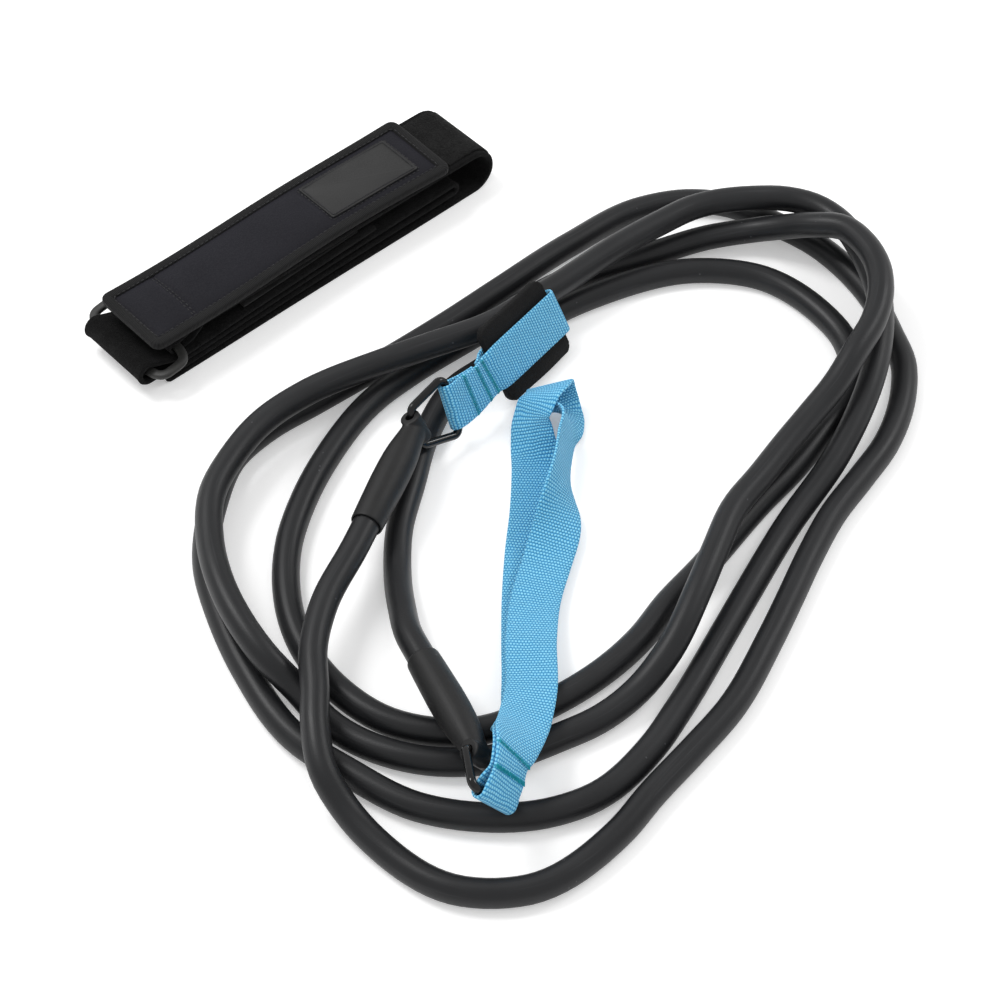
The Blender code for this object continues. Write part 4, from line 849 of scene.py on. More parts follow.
# %% Webbing: the strip and its turn round the wire
WEBBING_WIDTH = 0.025
WEBBING_THICKNESS = 0.0016
FINE_STEP = 0.002
STRAIGHT = 0.004
TURN_STEPS = 10
SEAT_GAP = 0.0003
SEAM_GAP = 0.0008
WRAP_RADIUS = WIRE_DIAMETER / 2 + SEAT_GAP + WEBBING_THICKNESS / 2
SEAM_OFFSET = (WEBBING_THICKNESS + SEAM_GAP) / 2
webbing_section = flat_section(WEBBING_WIDTH, WEBBING_THICKNESS, 8)


def first_run(bar, bar_way, station):
    """A straight first run off the bar, square to it, toward the next station."""
    toward = Vector(station[:3]) - bar
    heading = (toward - bar_way * toward.dot(bar_way)).normalized()
    return heading, bar + heading * STRAIGHT


def half_turn(centre, ahead, face, radius):
    """The webbing's half turn round a bar, or round the pad's edge."""
    turns = [math.pi * k / TURN_STEPS for k in range(1, TURN_STEPS)]
    return [centre - face * radius * math.cos(turn) - ahead * radius * math.sin(turn) for turn in turns]


def off_the_bar(place):
    """How far a leg lies from the middle of its loop: round the bar, then down to the seam."""
    share = min(1.0, place / (4 * WRAP_RADIUS))
    return WRAP_RADIUS + (SEAM_OFFSET - WRAP_RADIUS) * ease(share)

# %% [markdown]
# **Bar tacks** are dense zigzags of thread across the webbing. One is modelled as a bent thread,
# a little wider than the webbing so that its ends go over the edges, and the rest are copies.

# %% Bar tack
TACK_HALF = 0.0121
TACK_ZIGS = 25
TACK_WIDTH = 0.0021
TACK_END = TACK_HALF + 0.0005
TACK_DOWN = 0.0011
TACK_THREAD = 0.0003
TACK_RISE = 0.00018


def zigzag_tack():
    points = [(-TACK_END, 0.0, -TACK_DOWN)]
    for k in range(2 * TACK_ZIGS + 1):
        x = -TACK_HALF + TACK_HALF * k / TACK_ZIGS
        points.append((x, TACK_WIDTH / 2 * (1 if k % 2 else -1), 0.00010 * (k % 3)))
    points.append((TACK_END, 0.0, -TACK_DOWN))
    return bent_wire(points, TACK_THREAD, closed=False, sides=1)


tack_pattern = zigzag_tack()


def drawn_in(place, waist, depth, reach):
    """The share of its width that webbing keeps, drawn in by the thread near its waist."""
    return 1 - depth * math.exp(-((place - waist) / reach) ** 2)


def sew_tacks(letter, leg, sides, places, keeps, wanted):
    """Sews a tack across a leg at each wanted place, as wide as the webbing is there."""
    for number, place in enumerate(wanted, 1):
        i = int(np.searchsorted(places, place))
        aheads, squared, faces = path_frames(leg[i - 1:i + 2], sides[i - 1:i + 2])
        centre = leg[i] + faces[1] * (WEBBING_THICKNESS / 2 + TACK_RISE) + SHIFT
        stand = frame_from(squared[1], aheads[1], centre)
        if (stand.to_3x3() @ up).dot(faces[1]) < 0:
            stand = stand @ Matrix.Rotation(math.pi, 4, "X")
        tack = copy_of(tack_pattern, "tack")
        put_in_place(tack, stand @ Matrix.Diagonal((keeps[i], 1.0, 1.0, 1.0)))
        finish_piece(tack, f"tack_{letter}_{number}", f"loop_{letter}", teal_thread,
                     [f"loop_{letter}_bar_tack_{number}"])

# %% [markdown]
# Loop A follows the line midway between its two legs. Each leg lies to its side of that line: by
# the wire's radius at the bar, by half the webbing in the seam, and by half the pad at the pad.

# %% Loop A
PAD_LENGTH, PAD_WIDTH, PAD_THICKNESS = 0.052, 0.046, 0.004
PAD_CENTRE = Vector((0.0124, 0.0909, 0.0225))
PAD_ALONG = Vector((0.618, 0.787, 0.0))
PAD_UP = Vector((-0.33, 0.40, 0.857))
LOOP_A_SEAM = ((-0.0155, 0.0532, 0.0228), (-0.0090, 0.0615, 0.0226))
LOOP_A_TACKS = (0.0115, 0.0205, 0.0275)
WAIST_A = (0.024, 0.13, 0.009)
LOOP_A_BUTT = 0.6
pad_frame = frame_from(PAD_ALONG, PAD_UP, PAD_CENTRE)


def loop_a_offset(place, seam, pad_offset):
    """How far each leg lies from the middle line, at a place along it."""
    if place >= seam:
        return pad_offset
    near_pad = max(0.0, 1 - (seam - place) / (2 * pad_offset))
    return off_the_bar(place) + (pad_offset - off_the_bar(place)) * ease(near_pad)


def make_loop_a(bar, bar_way):
    """Sweeps the strip from its butt in the rear leg, round the bar, round the pad and back."""
    left = pad_frame @ Vector((-PAD_LENGTH / 2, 0.0, 0.0))
    right = pad_frame @ Vector((PAD_LENGTH / 2, 0.0, 0.0))
    heading, first = first_run(bar, bar_way, LOOP_A_SEAM[0])
    along = tuple(PAD_ALONG.normalized())
    stations = [tuple(bar), tuple(first), *LOOP_A_SEAM, tuple(left), tuple(right)]
    headings = {0: tuple(heading), 1: tuple(heading), -2: along, -1: along}
    spine = [Vector(p) for p in evenly(smooth_curve(stations, headings, FINE_STEP / 2), FINE_STEP)]
    places = places_along(spine)
    seam = places[-1] - PAD_LENGTH
    upward = pad_frame.to_3x3() @ Vector((0.0, 1.0, 0.0))
    shares = [clamp((place - STRAIGHT) / (seam - STRAIGHT)) for place in places]
    sides = [(-bar_way).lerp(upward, share).normalized() for share in shares]
    aheads, across, faces = path_frames(spine, sides)
    pad_offset = PAD_THICKNESS / 2 + SEAT_GAP + WEBBING_THICKNESS / 2
    offsets = [loop_a_offset(place, seam, pad_offset) for place in places]
    front = [point - face * offset for point, face, offset in zip(spine, faces, offsets)]
    rear = [point + face * offset for point, face, offset in zip(spine, faces, offsets)]
    fold = half_turn(spine[0], aheads[0], -faces[0], WRAP_RADIUS)
    turned = half_turn(spine[-1] + aheads[-1] * SEAT_GAP, -aheads[-1], faces[-1], pad_offset)
    butt = int(np.searchsorted(places, seam * LOOP_A_BUTT))

    def all_round(values):
        """A value of the middle line for each point of the strip, from its butt and back to it."""
        return (values[butt::-1] + [values[0]] * len(fold) + values
                + [values[-1]] * len(turned) + values[:butt + 1:-1])

    path = rear[butt::-1] + fold + front + turned + rear[:butt + 1:-1]
    keeps = [drawn_in(place, *WAIST_A) for place in places]
    strip = swept([point + SHIFT for point in path], all_round(across), webbing_section,
                  widths=all_round(keeps))
    finish_piece(strip, "blue_loop_a", "loop_a", blue_webbing, ["webbing_loop_a"])
    sew_tacks("a", front, [-side for side in across], places, keeps, LOOP_A_TACKS)


bar_a = ring_frames["a"] @ Vector((RING_HEIGHT, 0.0, 0.0)) - SHIFT
make_loop_a(bar_a, bar_ways["a"])

# %% [markdown]
# Loop B's rows give x, y, z, the tilt of its right edge below level and the turn of its width
# from the x axis: first the front leg, then the top fold, then the rear leg on the floor. The
# webbing's way over the top fold is LOOP_B_TURN, up and a little to the left.

# %% Loop B
LOOP_B_FRONT = (
    (0.0020, -0.1935, 0.0350, 50.0, 9.0), (0.0046, -0.1825, 0.0370, 46.0, 4.0),
    (0.0068, -0.1720, 0.0336, 38.0, 0.0), (0.0102, -0.1580, 0.0265, 20.0, -6.0),
    (0.0144, -0.1317, 0.0190, 0.0, -4.0), (0.0147, -0.0985, 0.0135, 0.0, 0.0),
    (0.0174, -0.0688, 0.0075, 0.0, -9.0), (0.0237, -0.0427, 0.0062, 2.0, -14.0),
    (0.0285, -0.0248, 0.0098, 20.0, -12.0), (0.0302, -0.0089, 0.0142, 50.0, -8.0),
    (0.0312, 0.0068, 0.0155, 70.0, -4.0), (0.0330, 0.0240, 0.0152, 74.0, -2.0),
    (0.0354, 0.0400, 0.0140, 70.0, 0.0), (0.0338, 0.0500, 0.0094, 42.0, 4.0),
    (0.0296, 0.0602, 0.0048, -6.0, 7.0),
)
LOOP_B_TOP = (0.0266, 0.0680, 0.0112, -12.0, 7.0)
LOOP_B_TURN = (-0.15, 0.0, 1.0)
LOOP_B_REAR = (
    (0.0243, 0.0602, 0.0182, -16.0, 7.0), (0.0195, 0.0520, 0.0190, -30.0, 5.0),
    (0.0160, 0.0450, 0.0142, -47.0, 3.0), (0.0165, 0.0365, 0.0078, -32.0, 0.0),
    (0.0180, 0.0265, 0.0020, -3.0, -3.0), (0.0180, 0.0100, 0.0013, 0.0, -5.0),
    (0.0170, -0.0100, 0.0013, 0.0, -5.0), (0.0148, -0.0332, 0.0013, 0.0, -4.0),
    (0.0131, -0.0649, 0.0026, 0.0, -2.0), (0.0128, -0.0948, 0.0090, 0.0, 0.0),
    (0.0128, -0.1296, 0.0154, 0.0, 0.0), (0.0122, -0.1440, 0.0158, 10.0, -5.0),
)
LOOP_B_TACKS = (0.011, 0.021)
WAIST_B = (0.017, 0.13, 0.009)
LOOP_B_FOLLOW = 0.012
LOOP_B_BUTT = 0.001


def widths_of(rows):
    """The way of the webbing's width at each row, from its tilt and turn."""
    sides = []
    for row in rows:
        tilt, turn = math.radians(row[3]), math.radians(row[4])
        level = Vector((math.cos(turn), math.sin(turn), 0.0))
        sides.append(level * math.cos(tilt) - up * math.sin(tilt))
    return sides


def make_loop_b(bar, bar_way):
    """Sweeps the strip from the seam's lower leg, round the bar, up to the fold and back."""
    over = (*LOOP_B_TURN, 0.0, 0.0)
    heading, first = first_run(bar, bar_way, LOOP_B_FRONT[0])
    turns = LOOP_B_FRONT[0][3:]
    stations = [(*bar, *turns), (*first, *turns), *LOOP_B_FRONT, LOOP_B_TOP]
    headings = {0: (*heading, 0.0, 0.0), 1: (*heading, 0.0, 0.0), -1: over}
    front = evenly(smooth_curve(stations, headings, FINE_STEP / 2), FINE_STEP)
    points = [Vector(row[:3]) for row in front]
    places = places_along(points)
    sides = widths_of(front)
    end = Vector(LOOP_B_FRONT[2][:3])
    seam = int(np.argmin([(point - end).length for point in points]))
    for i in range(seam + 1):
        share = max(0.0, (places[i] - STRAIGHT) / (places[seam] - STRAIGHT))
        sides[i] = bar_way.lerp(sides[i], share)
    aheads, sides, faces = path_frames(points, sides)
    upper, lower = [], []
    for i in range(len(points) - 1):
        offset = off_the_bar(places[i])
        past = max(0.0, places[i] - places[seam]) / (2 * LOOP_B_FOLLOW)
        upper.append(points[i] + faces[i] * offset * max(0.0, 1 - past))
        if i <= seam:
            lower.append(points[i] - faces[i] * offset)
    fold = half_turn(points[0], aheads[0], faces[0], WRAP_RADIUS)
    butt = int(np.searchsorted(places, places[seam] + LOOP_B_BUTT))
    join = points[butt] - faces[butt] * SEAM_OFFSET
    near = int(np.searchsorted(places, places[seam] + LOOP_B_FOLLOW))
    under = points[near] - faces[near] * (2 * SEAM_OFFSET + 1.5 * WEBBING_THICKNESS)
    twist = (front[butt + 1] - front[butt - 1])[3:] / (places[butt + 1] - places[butt - 1])
    stations = [LOOP_B_TOP, *LOOP_B_REAR, (*under, *front[near][3:]), (*join, *front[butt][3:])]
    headings = {0: over, -1: (*-aheads[butt], *-twist)}
    back = evenly(smooth_curve(stations, headings, FINE_STEP / 2), FINE_STEP)
    back_points = [Vector(row[:3]) for row in back]

    def to_the_top(values):
        """A value of the front leg for each point of the seam's lower leg, the bar and the front leg."""
        return values[seam::-1] + [values[0]] * len(fold) + values[:-1]

    path = lower[::-1] + fold + upper + back_points
    keeps = [drawn_in(place, *WAIST_B) for place in places]
    left = places_along(back_points[::-1])[::-1] + places[butt]
    widths = to_the_top(keeps) + [drawn_in(place, *WAIST_B) for place in left]
    strip = swept([point + SHIFT for point in path], to_the_top(sides) + widths_of(back), webbing_section,
                  widths=widths)
    finish_piece(strip, "blue_loop_b", "loop_b", blue_webbing, ["webbing_loop_b"])
    sew_tacks("b", upper, sides, places, keeps, LOOP_B_TACKS)


bar_b = ring_frames["b"] @ Vector((RING_HEIGHT, 0.0, 0.0)) - SHIFT
make_loop_b(bar_b, bar_ways["b"])
bpy.data.objects.remove(tack_pattern, do_unlink=True)

# %% [markdown]
# **The foam pad** keeps the webbing off what it is tied round. It is a thin slab with cut edges
# and round corners, pressed down under the webbing and a little fuller beside it. It is too thin
# for a cloth simulation to say anything, so its crown is made by moving its points.

# %% Foam pad
def rounded_slab(length, width, thickness, corner, rings):
    """A slab with round corners, its faces inset in rings so that they can be shaped."""
    slab = basic_shape(bpy.ops.mesh.primitive_plane_add, scale=(length, width, 1.0), size=1.0)
    edit_all()
    bpy.ops.mesh.select_mode(type="FACE")
    bpy.ops.mesh.bevel(offset=corner, segments=6, affect="VERTICES")
    bpy.ops.mesh.select_all(action="SELECT")
    bpy.ops.mesh.extrude_region_move(TRANSFORM_OT_translate={"value": (0.0, 0.0, thickness)})
    for upward in (True, False):
        bpy.ops.mesh.select_all(action="DESELECT")
        bpy.ops.object.mode_set(mode="OBJECT")
        for polygon in slab.data.polygons:
            polygon.select = len(polygon.vertices) > 4 and (polygon.center.z > thickness / 2) == upward
        bpy.ops.object.mode_set(mode="EDIT")
        for inset in rings:
            bpy.ops.mesh.inset(thickness=inset, depth=0.0)
    face_outward()
    return slab


def shape(piece, move):
    """Moves each point of a mesh by a rule given its place."""
    for vertex in piece.data.vertices:
        vertex.co += Vector(move(vertex.co))


PAD_CORNER = 0.006
PAD_VOXEL = 0.0008
PAD_SOFT = 0.004
PAD_CROWN = 0.0007
PAD_PRESSED = 0.0002
PAD_WAVE = 0.0004
pad = rounded_slab(PAD_LENGTH, PAD_WIDTH, PAD_THICKNESS, PAD_CORNER, (0.0006, 0.0022))
weld(pad, PAD_VOXEL, 3)


def pad_crown(point):
    """Fuller beside the webbing and away from the edges, pressed a little under the webbing."""
    beside = clamp((abs(point.y) - WEBBING_WIDTH / 2) / PAD_SOFT)
    edge = min(PAD_WIDTH / 2 - abs(point.y), PAD_LENGTH / 2 - abs(point.x))
    full = beside * clamp(edge / PAD_SOFT)
    sign = 1 if point.z > PAD_THICKNESS / 2 else -1
    wave = PAD_WAVE * math.sin(point.x * 160 + 1.0) * beside
    return 0.0, 0.0, PAD_CROWN * sign * full - PAD_PRESSED * sign * (1 - beside) + wave


shape(pad, pad_crown)
put_in_place(pad, Matrix.Translation(SHIFT) @ pad_frame @ raised(-PAD_THICKNESS / 2))
finish_piece(pad, "foam_pad", "loop_a", pad_foam, ["loop_a_pad"], 50)

# %% [markdown]
# **The belt** lies folded beside the tube. Its strap is one long brushed strip in layers: the
# sewn top run, round the right end, a run along the floor, back, and round the slide. The bends
# are arcs, as in the CAD, and the edges have a slight bead where they are overlocked. Each run
# wanders a little to the side, so that the layers don't line up like paper.

# %% Belt: its frame and the strap
BELT_PLACE = Vector((-0.1963, 0.0966, 0.0))
BELT_FRAME = Matrix.Translation(BELT_PLACE + SHIFT) @ Matrix.Rotation(BELT_TURN, 4, "Z")
BELT_WIDTH = 0.050
STRAP_THICKNESS = 0.0024
LEVELS = (0.0012, 0.0048, 0.0084, 0.0120)
FAN = (0.0, 0.0024, 0.0050, 0.0074)
TOP_LEVEL = 0.0255
SLIDE_FOLD, SLIDE_DEPTH, SLIDE_RAIL = -0.0055, 0.027, 0.005
SLIDE_LEFT, SLIDE_RIGHT = 0.0140, 0.0169
RAIL_X = SLIDE_FOLD + SLIDE_DEPTH - SLIDE_RAIL
STRAP_START, STRAP_END = 0.008, 0.150
RIGHT_BEND, INNER_BEND, LEFT_BEND = 0.224, 0.208, 0.007
OUTER_RADIUS = (TOP_LEVEL - LEVELS[0]) / 2
STRAP_SIDE_GAP = 0.0008
STRAP_BODY, STRAP_BEAD = 0.0021, 0.0005
belt_side = BELT_FRAME.to_3x3() @ Vector((0.0, 1.0, 0.0))


def arc(centre_x, centre_z, radius, start, end, steps=16):
    turns = [start + (end - start) * k / steps for k in range(steps + 1)]
    return [(centre_x + radius * math.cos(turn), centre_z + radius * math.sin(turn)) for turn in turns]


def strap_path():
    """The strap's line in x and z of the belt's frame, from its top run to its inner end."""
    bottom, first, second, third = LEVELS
    fan = [level + rise for level, rise in zip(LEVELS, FAN)]
    low = (first - bottom) / 2
    inner = (fan[2] - fan[1]) / 2
    half = math.pi / 2
    return [
        (STRAP_START, TOP_LEVEL),
        *arc(RIGHT_BEND, bottom + OUTER_RADIUS, OUTER_RADIUS, half, -half, 24),
        *arc(LEFT_BEND, bottom + low, low, 3 * half, half),
        *arc(INNER_BEND, fan[1] + inner, inner, -half, half),
        (SLIDE_DEPTH, second),
        *arc(SLIDE_FOLD, SLIDE_LEFT, SLIDE_LEFT - second, 3 * half, half),
        (RAIL_X - 0.75 * SLIDE_RAIL, third),
        (RAIL_X + SLIDE_RAIL, third),
        (STRAP_END, fan[3]),
    ]


def spread_out(path, step=0.006):
    """Adds points to the long straight runs of a path, about a step apart."""
    made = []
    for (x, z), (next_x, next_z) in zip(path, path[1:]):
        count = max(1, int(math.hypot(next_x - x, next_z - z) / step))
        made += [(x + (next_x - x) * k / count, z + (next_z - z) * k / count) for k in range(count)]
    return made + [path[-1]]


def belt_strip(path, section, wander=0.0, seed=0.0):
    """A strip on a line in the belt's frame, which wanders to the side in two slow waves."""
    places = np.concatenate([[0.0], np.cumsum([math.dist(a, b) for a, b in zip(path, path[1:])])])
    points = []
    for (x, z), place in zip(path, places):
        y = wander * (math.sin(place * 9.0 + seed) + 0.4 * math.sin(place * 31.0 + 2 * seed))
        points.append(BELT_FRAME @ Vector((x, y, z)))
    return swept(points, [belt_side] * len(points), section)


strap_section = flat_section(BELT_WIDTH - STRAP_SIDE_GAP, STRAP_BODY, 16, STRAP_BEAD)
strap = belt_strip(spread_out(strap_path()), strap_section, 0.0007, 1.3)
finish_piece(strap, "brushed_strap", "belt", strap_cloth, ["belt_strap"])

# %% [markdown]
# The strap closes with hook-and-loop tape. A loop strip is sewn under the top run and shows
# again, rough side out, where the strap comes over the right end; the hook strip faces it.

# %% Belt: tapes and tab
TAPE_WIDTH, TAPE_THICKNESS = 0.044, 0.0012
LOOP_TAPE_ENDS = (0.050, 0.190)
HOOK_TAPE_ENDS = (0.060, 0.140)
tape_section = flat_section(TAPE_WIDTH, TAPE_THICKNESS, 8)
lift = STRAP_THICKNESS / 2 + SEAT_GAP + TAPE_THICKNESS / 2
under = TOP_LEVEL - STRAP_THICKNESS - 2 * SEAT_GAP - TAPE_THICKNESS + lift
loop_tape = belt_strip(spread_out([(x, under) for x in LOOP_TAPE_ENDS]), tape_section)
finish_piece(loop_tape, "loop_tape", "belt", loop_cloth, ["loop_strip"])
slope = FAN[3] / (STRAP_END - SLIDE_FOLD)
hook_line = [(x, LEVELS[3] + slope * (x - SLIDE_FOLD) + lift) for x in HOOK_TAPE_ENDS]
hook_piece = belt_strip(spread_out(hook_line), tape_section)
finish_piece(hook_piece, "hook_tape", "belt", hook_tape, ["hook_strip"])

OUTSIDE_START, OUTSIDE_END_TURN = 0.2075, 0.05
OUTSIDE_WIDTH, OUTSIDE_THICKNESS = 0.0425, 0.0011
skin_lift = STRAP_THICKNESS / 2 + 0.0005
outside_line = [
    (OUTSIDE_START, TOP_LEVEL + skin_lift),
    *arc(RIGHT_BEND, LEVELS[0] + OUTER_RADIUS, OUTER_RADIUS + skin_lift, math.pi / 2, OUTSIDE_END_TURN, 20),
]
outside_section = flat_section(OUTSIDE_WIDTH, OUTSIDE_THICKNESS, 10)
outside_tape = belt_strip(spread_out(outside_line, 0.003), outside_section)
finish_piece(outside_tape, "outside_loop_tape", "belt", loop_cloth)

TAB_WIDTH, TAB_THICKNESS = 0.042, 0.0012
TAB_END, TAB_CLOSED = 0.042, 0.0336
TAB_SEAT, TAB_GAP = 0.0032, 0.0006
tab_offset = TAB_SEAT / 2 + TAB_GAP + TAB_THICKNESS / 2
tab_upper = TOP_LEVEL - STRAP_THICKNESS / 2 - SEAT_GAP - TAB_THICKNESS / 2
tab_lower = tab_upper - TAB_THICKNESS - SEAT_GAP
tab_path = [
    (TAB_END, tab_lower),
    (TAB_CLOSED, tab_lower - TAB_THICKNESS / 2),
    (RAIL_X + 2 * SLIDE_RAIL, SLIDE_RIGHT - tab_offset / 2),
    (RAIL_X + SLIDE_RAIL, SLIDE_RIGHT - tab_offset),
    *arc(RAIL_X - SLIDE_RAIL / 2, SLIDE_RIGHT, tab_offset, -math.pi / 2, -1.5 * math.pi),
    (RAIL_X + SLIDE_RAIL / 2, SLIDE_RIGHT + tab_offset),
    (RAIL_X + 2 * SLIDE_RAIL, tab_upper - TAB_THICKNESS),
    (TAB_CLOSED, tab_upper),
    (TAB_END, tab_upper),
]
tab = belt_strip(tab_path, flat_section(TAB_WIDTH, TAB_THICKNESS, 8))
finish_piece(tab, "slide_tab", "belt", binding_tape, ["belt_tab"])

# %% [markdown]
# **The slide** is an oval plastic loop with a squarish slot. It is swept round a superellipse,
# with a section that is rounded like a worn bead, and tilted so that its left rail sits in the
# strap's fold.

# %% Belt: slide
SLIDE_LENGTH, SLIDE_INSET = 0.068, 0.0058
SLIDE_BAR = (0.0052, 0.0034)


def oval(length, depth, squareness, count=64):
    """Points on a superellipse; a squareness under 1 fills its corners."""
    points = []
    for k in range(count):
        c, s = math.cos(2 * math.pi * k / count), math.sin(2 * math.pi * k / count)
        points.append((depth / 2 * math.copysign(abs(c) ** squareness, c),
                       length / 2 * math.copysign(abs(s) ** squareness, s)))
    return points


def bead_section(width, height, count=14, squareness=0.7):
    return oval(height, width, squareness, count)


def closed_strip(matrix, outline, section):
    """A section carried round a closed flat outline in a matrix's x and y."""
    points = [matrix @ Vector((x, y, 0.0)) for x, y in outline]
    normal = (matrix.to_3x3() @ up).normalized()
    sides = []
    for i, point in enumerate(points):
        ahead = points[(i + 1) % len(points)] - points[i - 1]
        sides.append(ahead.cross(normal).normalized())
    return swept(points, sides, section, closed=True)


tilt = math.atan2(SLIDE_RIGHT - SLIDE_LEFT, SLIDE_DEPTH - SLIDE_RAIL)
slide_x, slide_z = SLIDE_FOLD + (SLIDE_DEPTH - SLIDE_RAIL) / 2, (SLIDE_LEFT + SLIDE_RIGHT) / 2
slide_frame = BELT_FRAME @ Matrix.Translation((slide_x, 0.0, slide_z)) @ Matrix.Rotation(-tilt, 4, "Y")
slide_line = oval(SLIDE_LENGTH - SLIDE_INSET, SLIDE_DEPTH - SLIDE_RAIL, 0.5)
slide = closed_strip(slide_frame, slide_line, bead_section(*SLIDE_BAR))
finish_piece(slide, "oval_slide", "belt", slide_plastic, ["belt_slide"])

# %% [markdown]
# **The panel** is a padded sandwich: smooth knit over foam, bound round its edge. It crowns in
# the middle, dips along the row of stitching, and its long sides pull in a little between the
# corners. The dips are real geometry, so they show from every side.

# %% Belt: panel
PANEL_LENGTH, PANEL_WIDTH = 0.205, 0.050
BINDING_WIDTH, BINDING_THICKNESS = 0.0052, 0.0050
PANEL_BASE = TOP_LEVEL + STRAP_THICKNESS / 2 + SEAT_GAP
PANEL_THICKNESS = 0.0042
PANEL_START = 0.002
EDGE_DROP, EDGE_REACH = 0.0009, 0.0022
PANEL_CROWN = 0.0016
ROW_DIP, ROW_DIP_REACH, ROW_HALF = 0.0013, 0.0016, 0.018
ROW_X = 0.030 - PANEL_LENGTH / 2
PATCH_LENGTH, PATCH_WIDTH, PATCH_THICKNESS = 0.060, 0.030, 0.0008
PATCH_FROM_END = 0.010
PATCH_MARGIN = 0.002
PATCH_X = (PANEL_LENGTH - 2 * BINDING_WIDTH) / 2 - PATCH_FROM_END - PATCH_LENGTH / 2
PANEL_SWAY = 0.0013
PANEL_LIFT, LIFT_FROM, LIFT_OVER = 0.0020, 0.035, 0.065
panel_frame = BELT_FRAME @ Matrix.Translation((PANEL_LENGTH / 2, 0.0, PANEL_BASE))


def panel_top(x, y):
    """The height of the panel's skin over its base."""
    half_x, half_y = PANEL_LENGTH / 2 - BINDING_WIDTH, PANEL_WIDTH / 2 - BINDING_WIDTH
    edge = max(0.0, min(half_x - abs(x), half_y - abs(y)))
    rise = 1 - math.exp(-edge / EDGE_REACH)
    crown = PANEL_CROWN * (1 - (y / half_y) ** 2) * (1 - (x / half_x) ** 6)
    waves = 0.00022 * math.sin(x * 61 + 0.6) * math.cos(y * 90) + 0.00012 * math.sin(x * 143 + y * 75)
    dip = ROW_DIP * math.exp(-((x - ROW_X) / ROW_DIP_REACH) ** 2) * (1 if abs(y) < ROW_HALF else 0.4)
    beside = (abs(x - PATCH_X) > PATCH_LENGTH / 2 + PATCH_MARGIN
              or abs(y) > PATCH_WIDTH / 2 + PATCH_MARGIN)
    flat = 1.0 if beside else 0.55
    return PANEL_THICKNESS - EDGE_DROP + rise * (EDGE_DROP + (crown + waves) * flat) - dip


def settle(piece):
    """Sways the panel and what is sewn to it, and lifts the far side of its right end."""
    inward = panel_frame.inverted()
    for vertex in piece.data.vertices:
        place = inward @ vertex.co
        right = clamp((place.x - LIFT_FROM) / LIFT_OVER)
        place.y += PANEL_SWAY * math.sin(place.x * 31.0 + 0.6)
        place.z += PANEL_LIFT * right * right * (0.5 + place.y / PANEL_WIDTH)
        vertex.co = panel_frame @ place


def raise_skin(point):
    """Brings the grid's upper points from their start to the panel's top."""
    upper = point.z > PANEL_START / 2
    return 0.0, 0.0, panel_top(point.x, point.y) - PANEL_START if upper else 0.0


panel = basic_shape(bpy.ops.mesh.primitive_grid_add, x_subdivisions=130, y_subdivisions=28, size=1.0,
                    scale=(PANEL_LENGTH - 2 * BINDING_WIDTH, PANEL_WIDTH - 2 * BINDING_WIDTH, 1.0))
edit_all()
bpy.ops.mesh.extrude_region_move(TRANSFORM_OT_translate={"value": (0.0, 0.0, PANEL_START)})
face_outward()
shape(panel, raise_skin)
put_in_place(panel, panel_frame)
settle(panel)
finish_piece(panel, "padded_panel", "belt", panel_knit, ["belt_pad"])

# %% Belt: binding
def rounded_outline(length, width, corner, steps=8, step=0.004):
    """A rectangle's outline with round corners, its points no further apart than about a step."""
    centres = ((length / 2 - corner, width / 2 - corner), (corner - length / 2, width / 2 - corner),
               (corner - length / 2, corner - width / 2), (length / 2 - corner, corner - width / 2))
    outline = []
    for quarter, (x, y) in enumerate(centres):
        for k in range(steps + 1):
            turn = (quarter + k / steps) * math.pi / 2
            outline.append((x + corner * math.cos(turn), y + corner * math.sin(turn)))
    return spread_out(outline + outline[:1], step)[:-1]


BINDING_CORNER = 0.0022
BINDING_DRAW = 0.0005
BINDING_OVER, BINDING_UNDER = 0.0008, 0.0006
binding_line = [
    (x, y - math.copysign(BINDING_DRAW * math.cos(math.pi * x / PANEL_LENGTH), y))
    for x, y in rounded_outline(PANEL_LENGTH - BINDING_WIDTH, PANEL_WIDTH - BINDING_WIDTH, BINDING_CORNER)]
binding_section = bead_section(BINDING_WIDTH + BINDING_OVER, BINDING_THICKNESS - BINDING_UNDER, 18, 0.50)
binding = closed_strip(panel_frame @ raised(BINDING_THICKNESS / 2), binding_line, binding_section)
settle(binding)
finish_piece(binding, "panel_binding", "belt", binding_tape, ["belt_binding"])

# %% [markdown]
# **The patch** is a bare grey tag. A groove is pressed in near its edge, a black cord lies just
# inside the groove, and a line of stitches runs round outside the patch.

# %% Belt: patch
PATCH_CORNER = 0.0016
PATCH_SINK = 0.0002
GROOVE_FROM, GROOVE_TO, GROOVE_DEPTH = 0.0002, 0.0010, 0.0003
RIM_INSET, RIM_CORNER, RIM_RISE = 0.0028, 0.0012, 0.0009
RIM_WIDTH, RIM_HEIGHT = 0.0009, 0.0005
patch = rounded_slab(PATCH_LENGTH, PATCH_WIDTH, PATCH_THICKNESS, PATCH_CORNER, (0.0004, 0.0012))
for vertex in patch.data.vertices:
    edge = min(PATCH_LENGTH / 2 - abs(vertex.co.x), PATCH_WIDTH / 2 - abs(vertex.co.y))
    if GROOVE_FROM < edge < GROOVE_TO and vertex.co.z > PATCH_THICKNESS / 2:
        vertex.co.z -= GROOVE_DEPTH
patch_rise = panel_top(PATCH_X, 0.0) - PATCH_SINK
patch_frame = panel_frame @ Matrix.Translation((PATCH_X, 0.0, patch_rise))
put_in_place(patch, patch_frame)
settle(patch)
finish_piece(patch, "bare_patch", "belt", bare_patch, ["belt_patch"], 30)
rim_line = rounded_outline(PATCH_LENGTH - RIM_INSET, PATCH_WIDTH - RIM_INSET, RIM_CORNER)
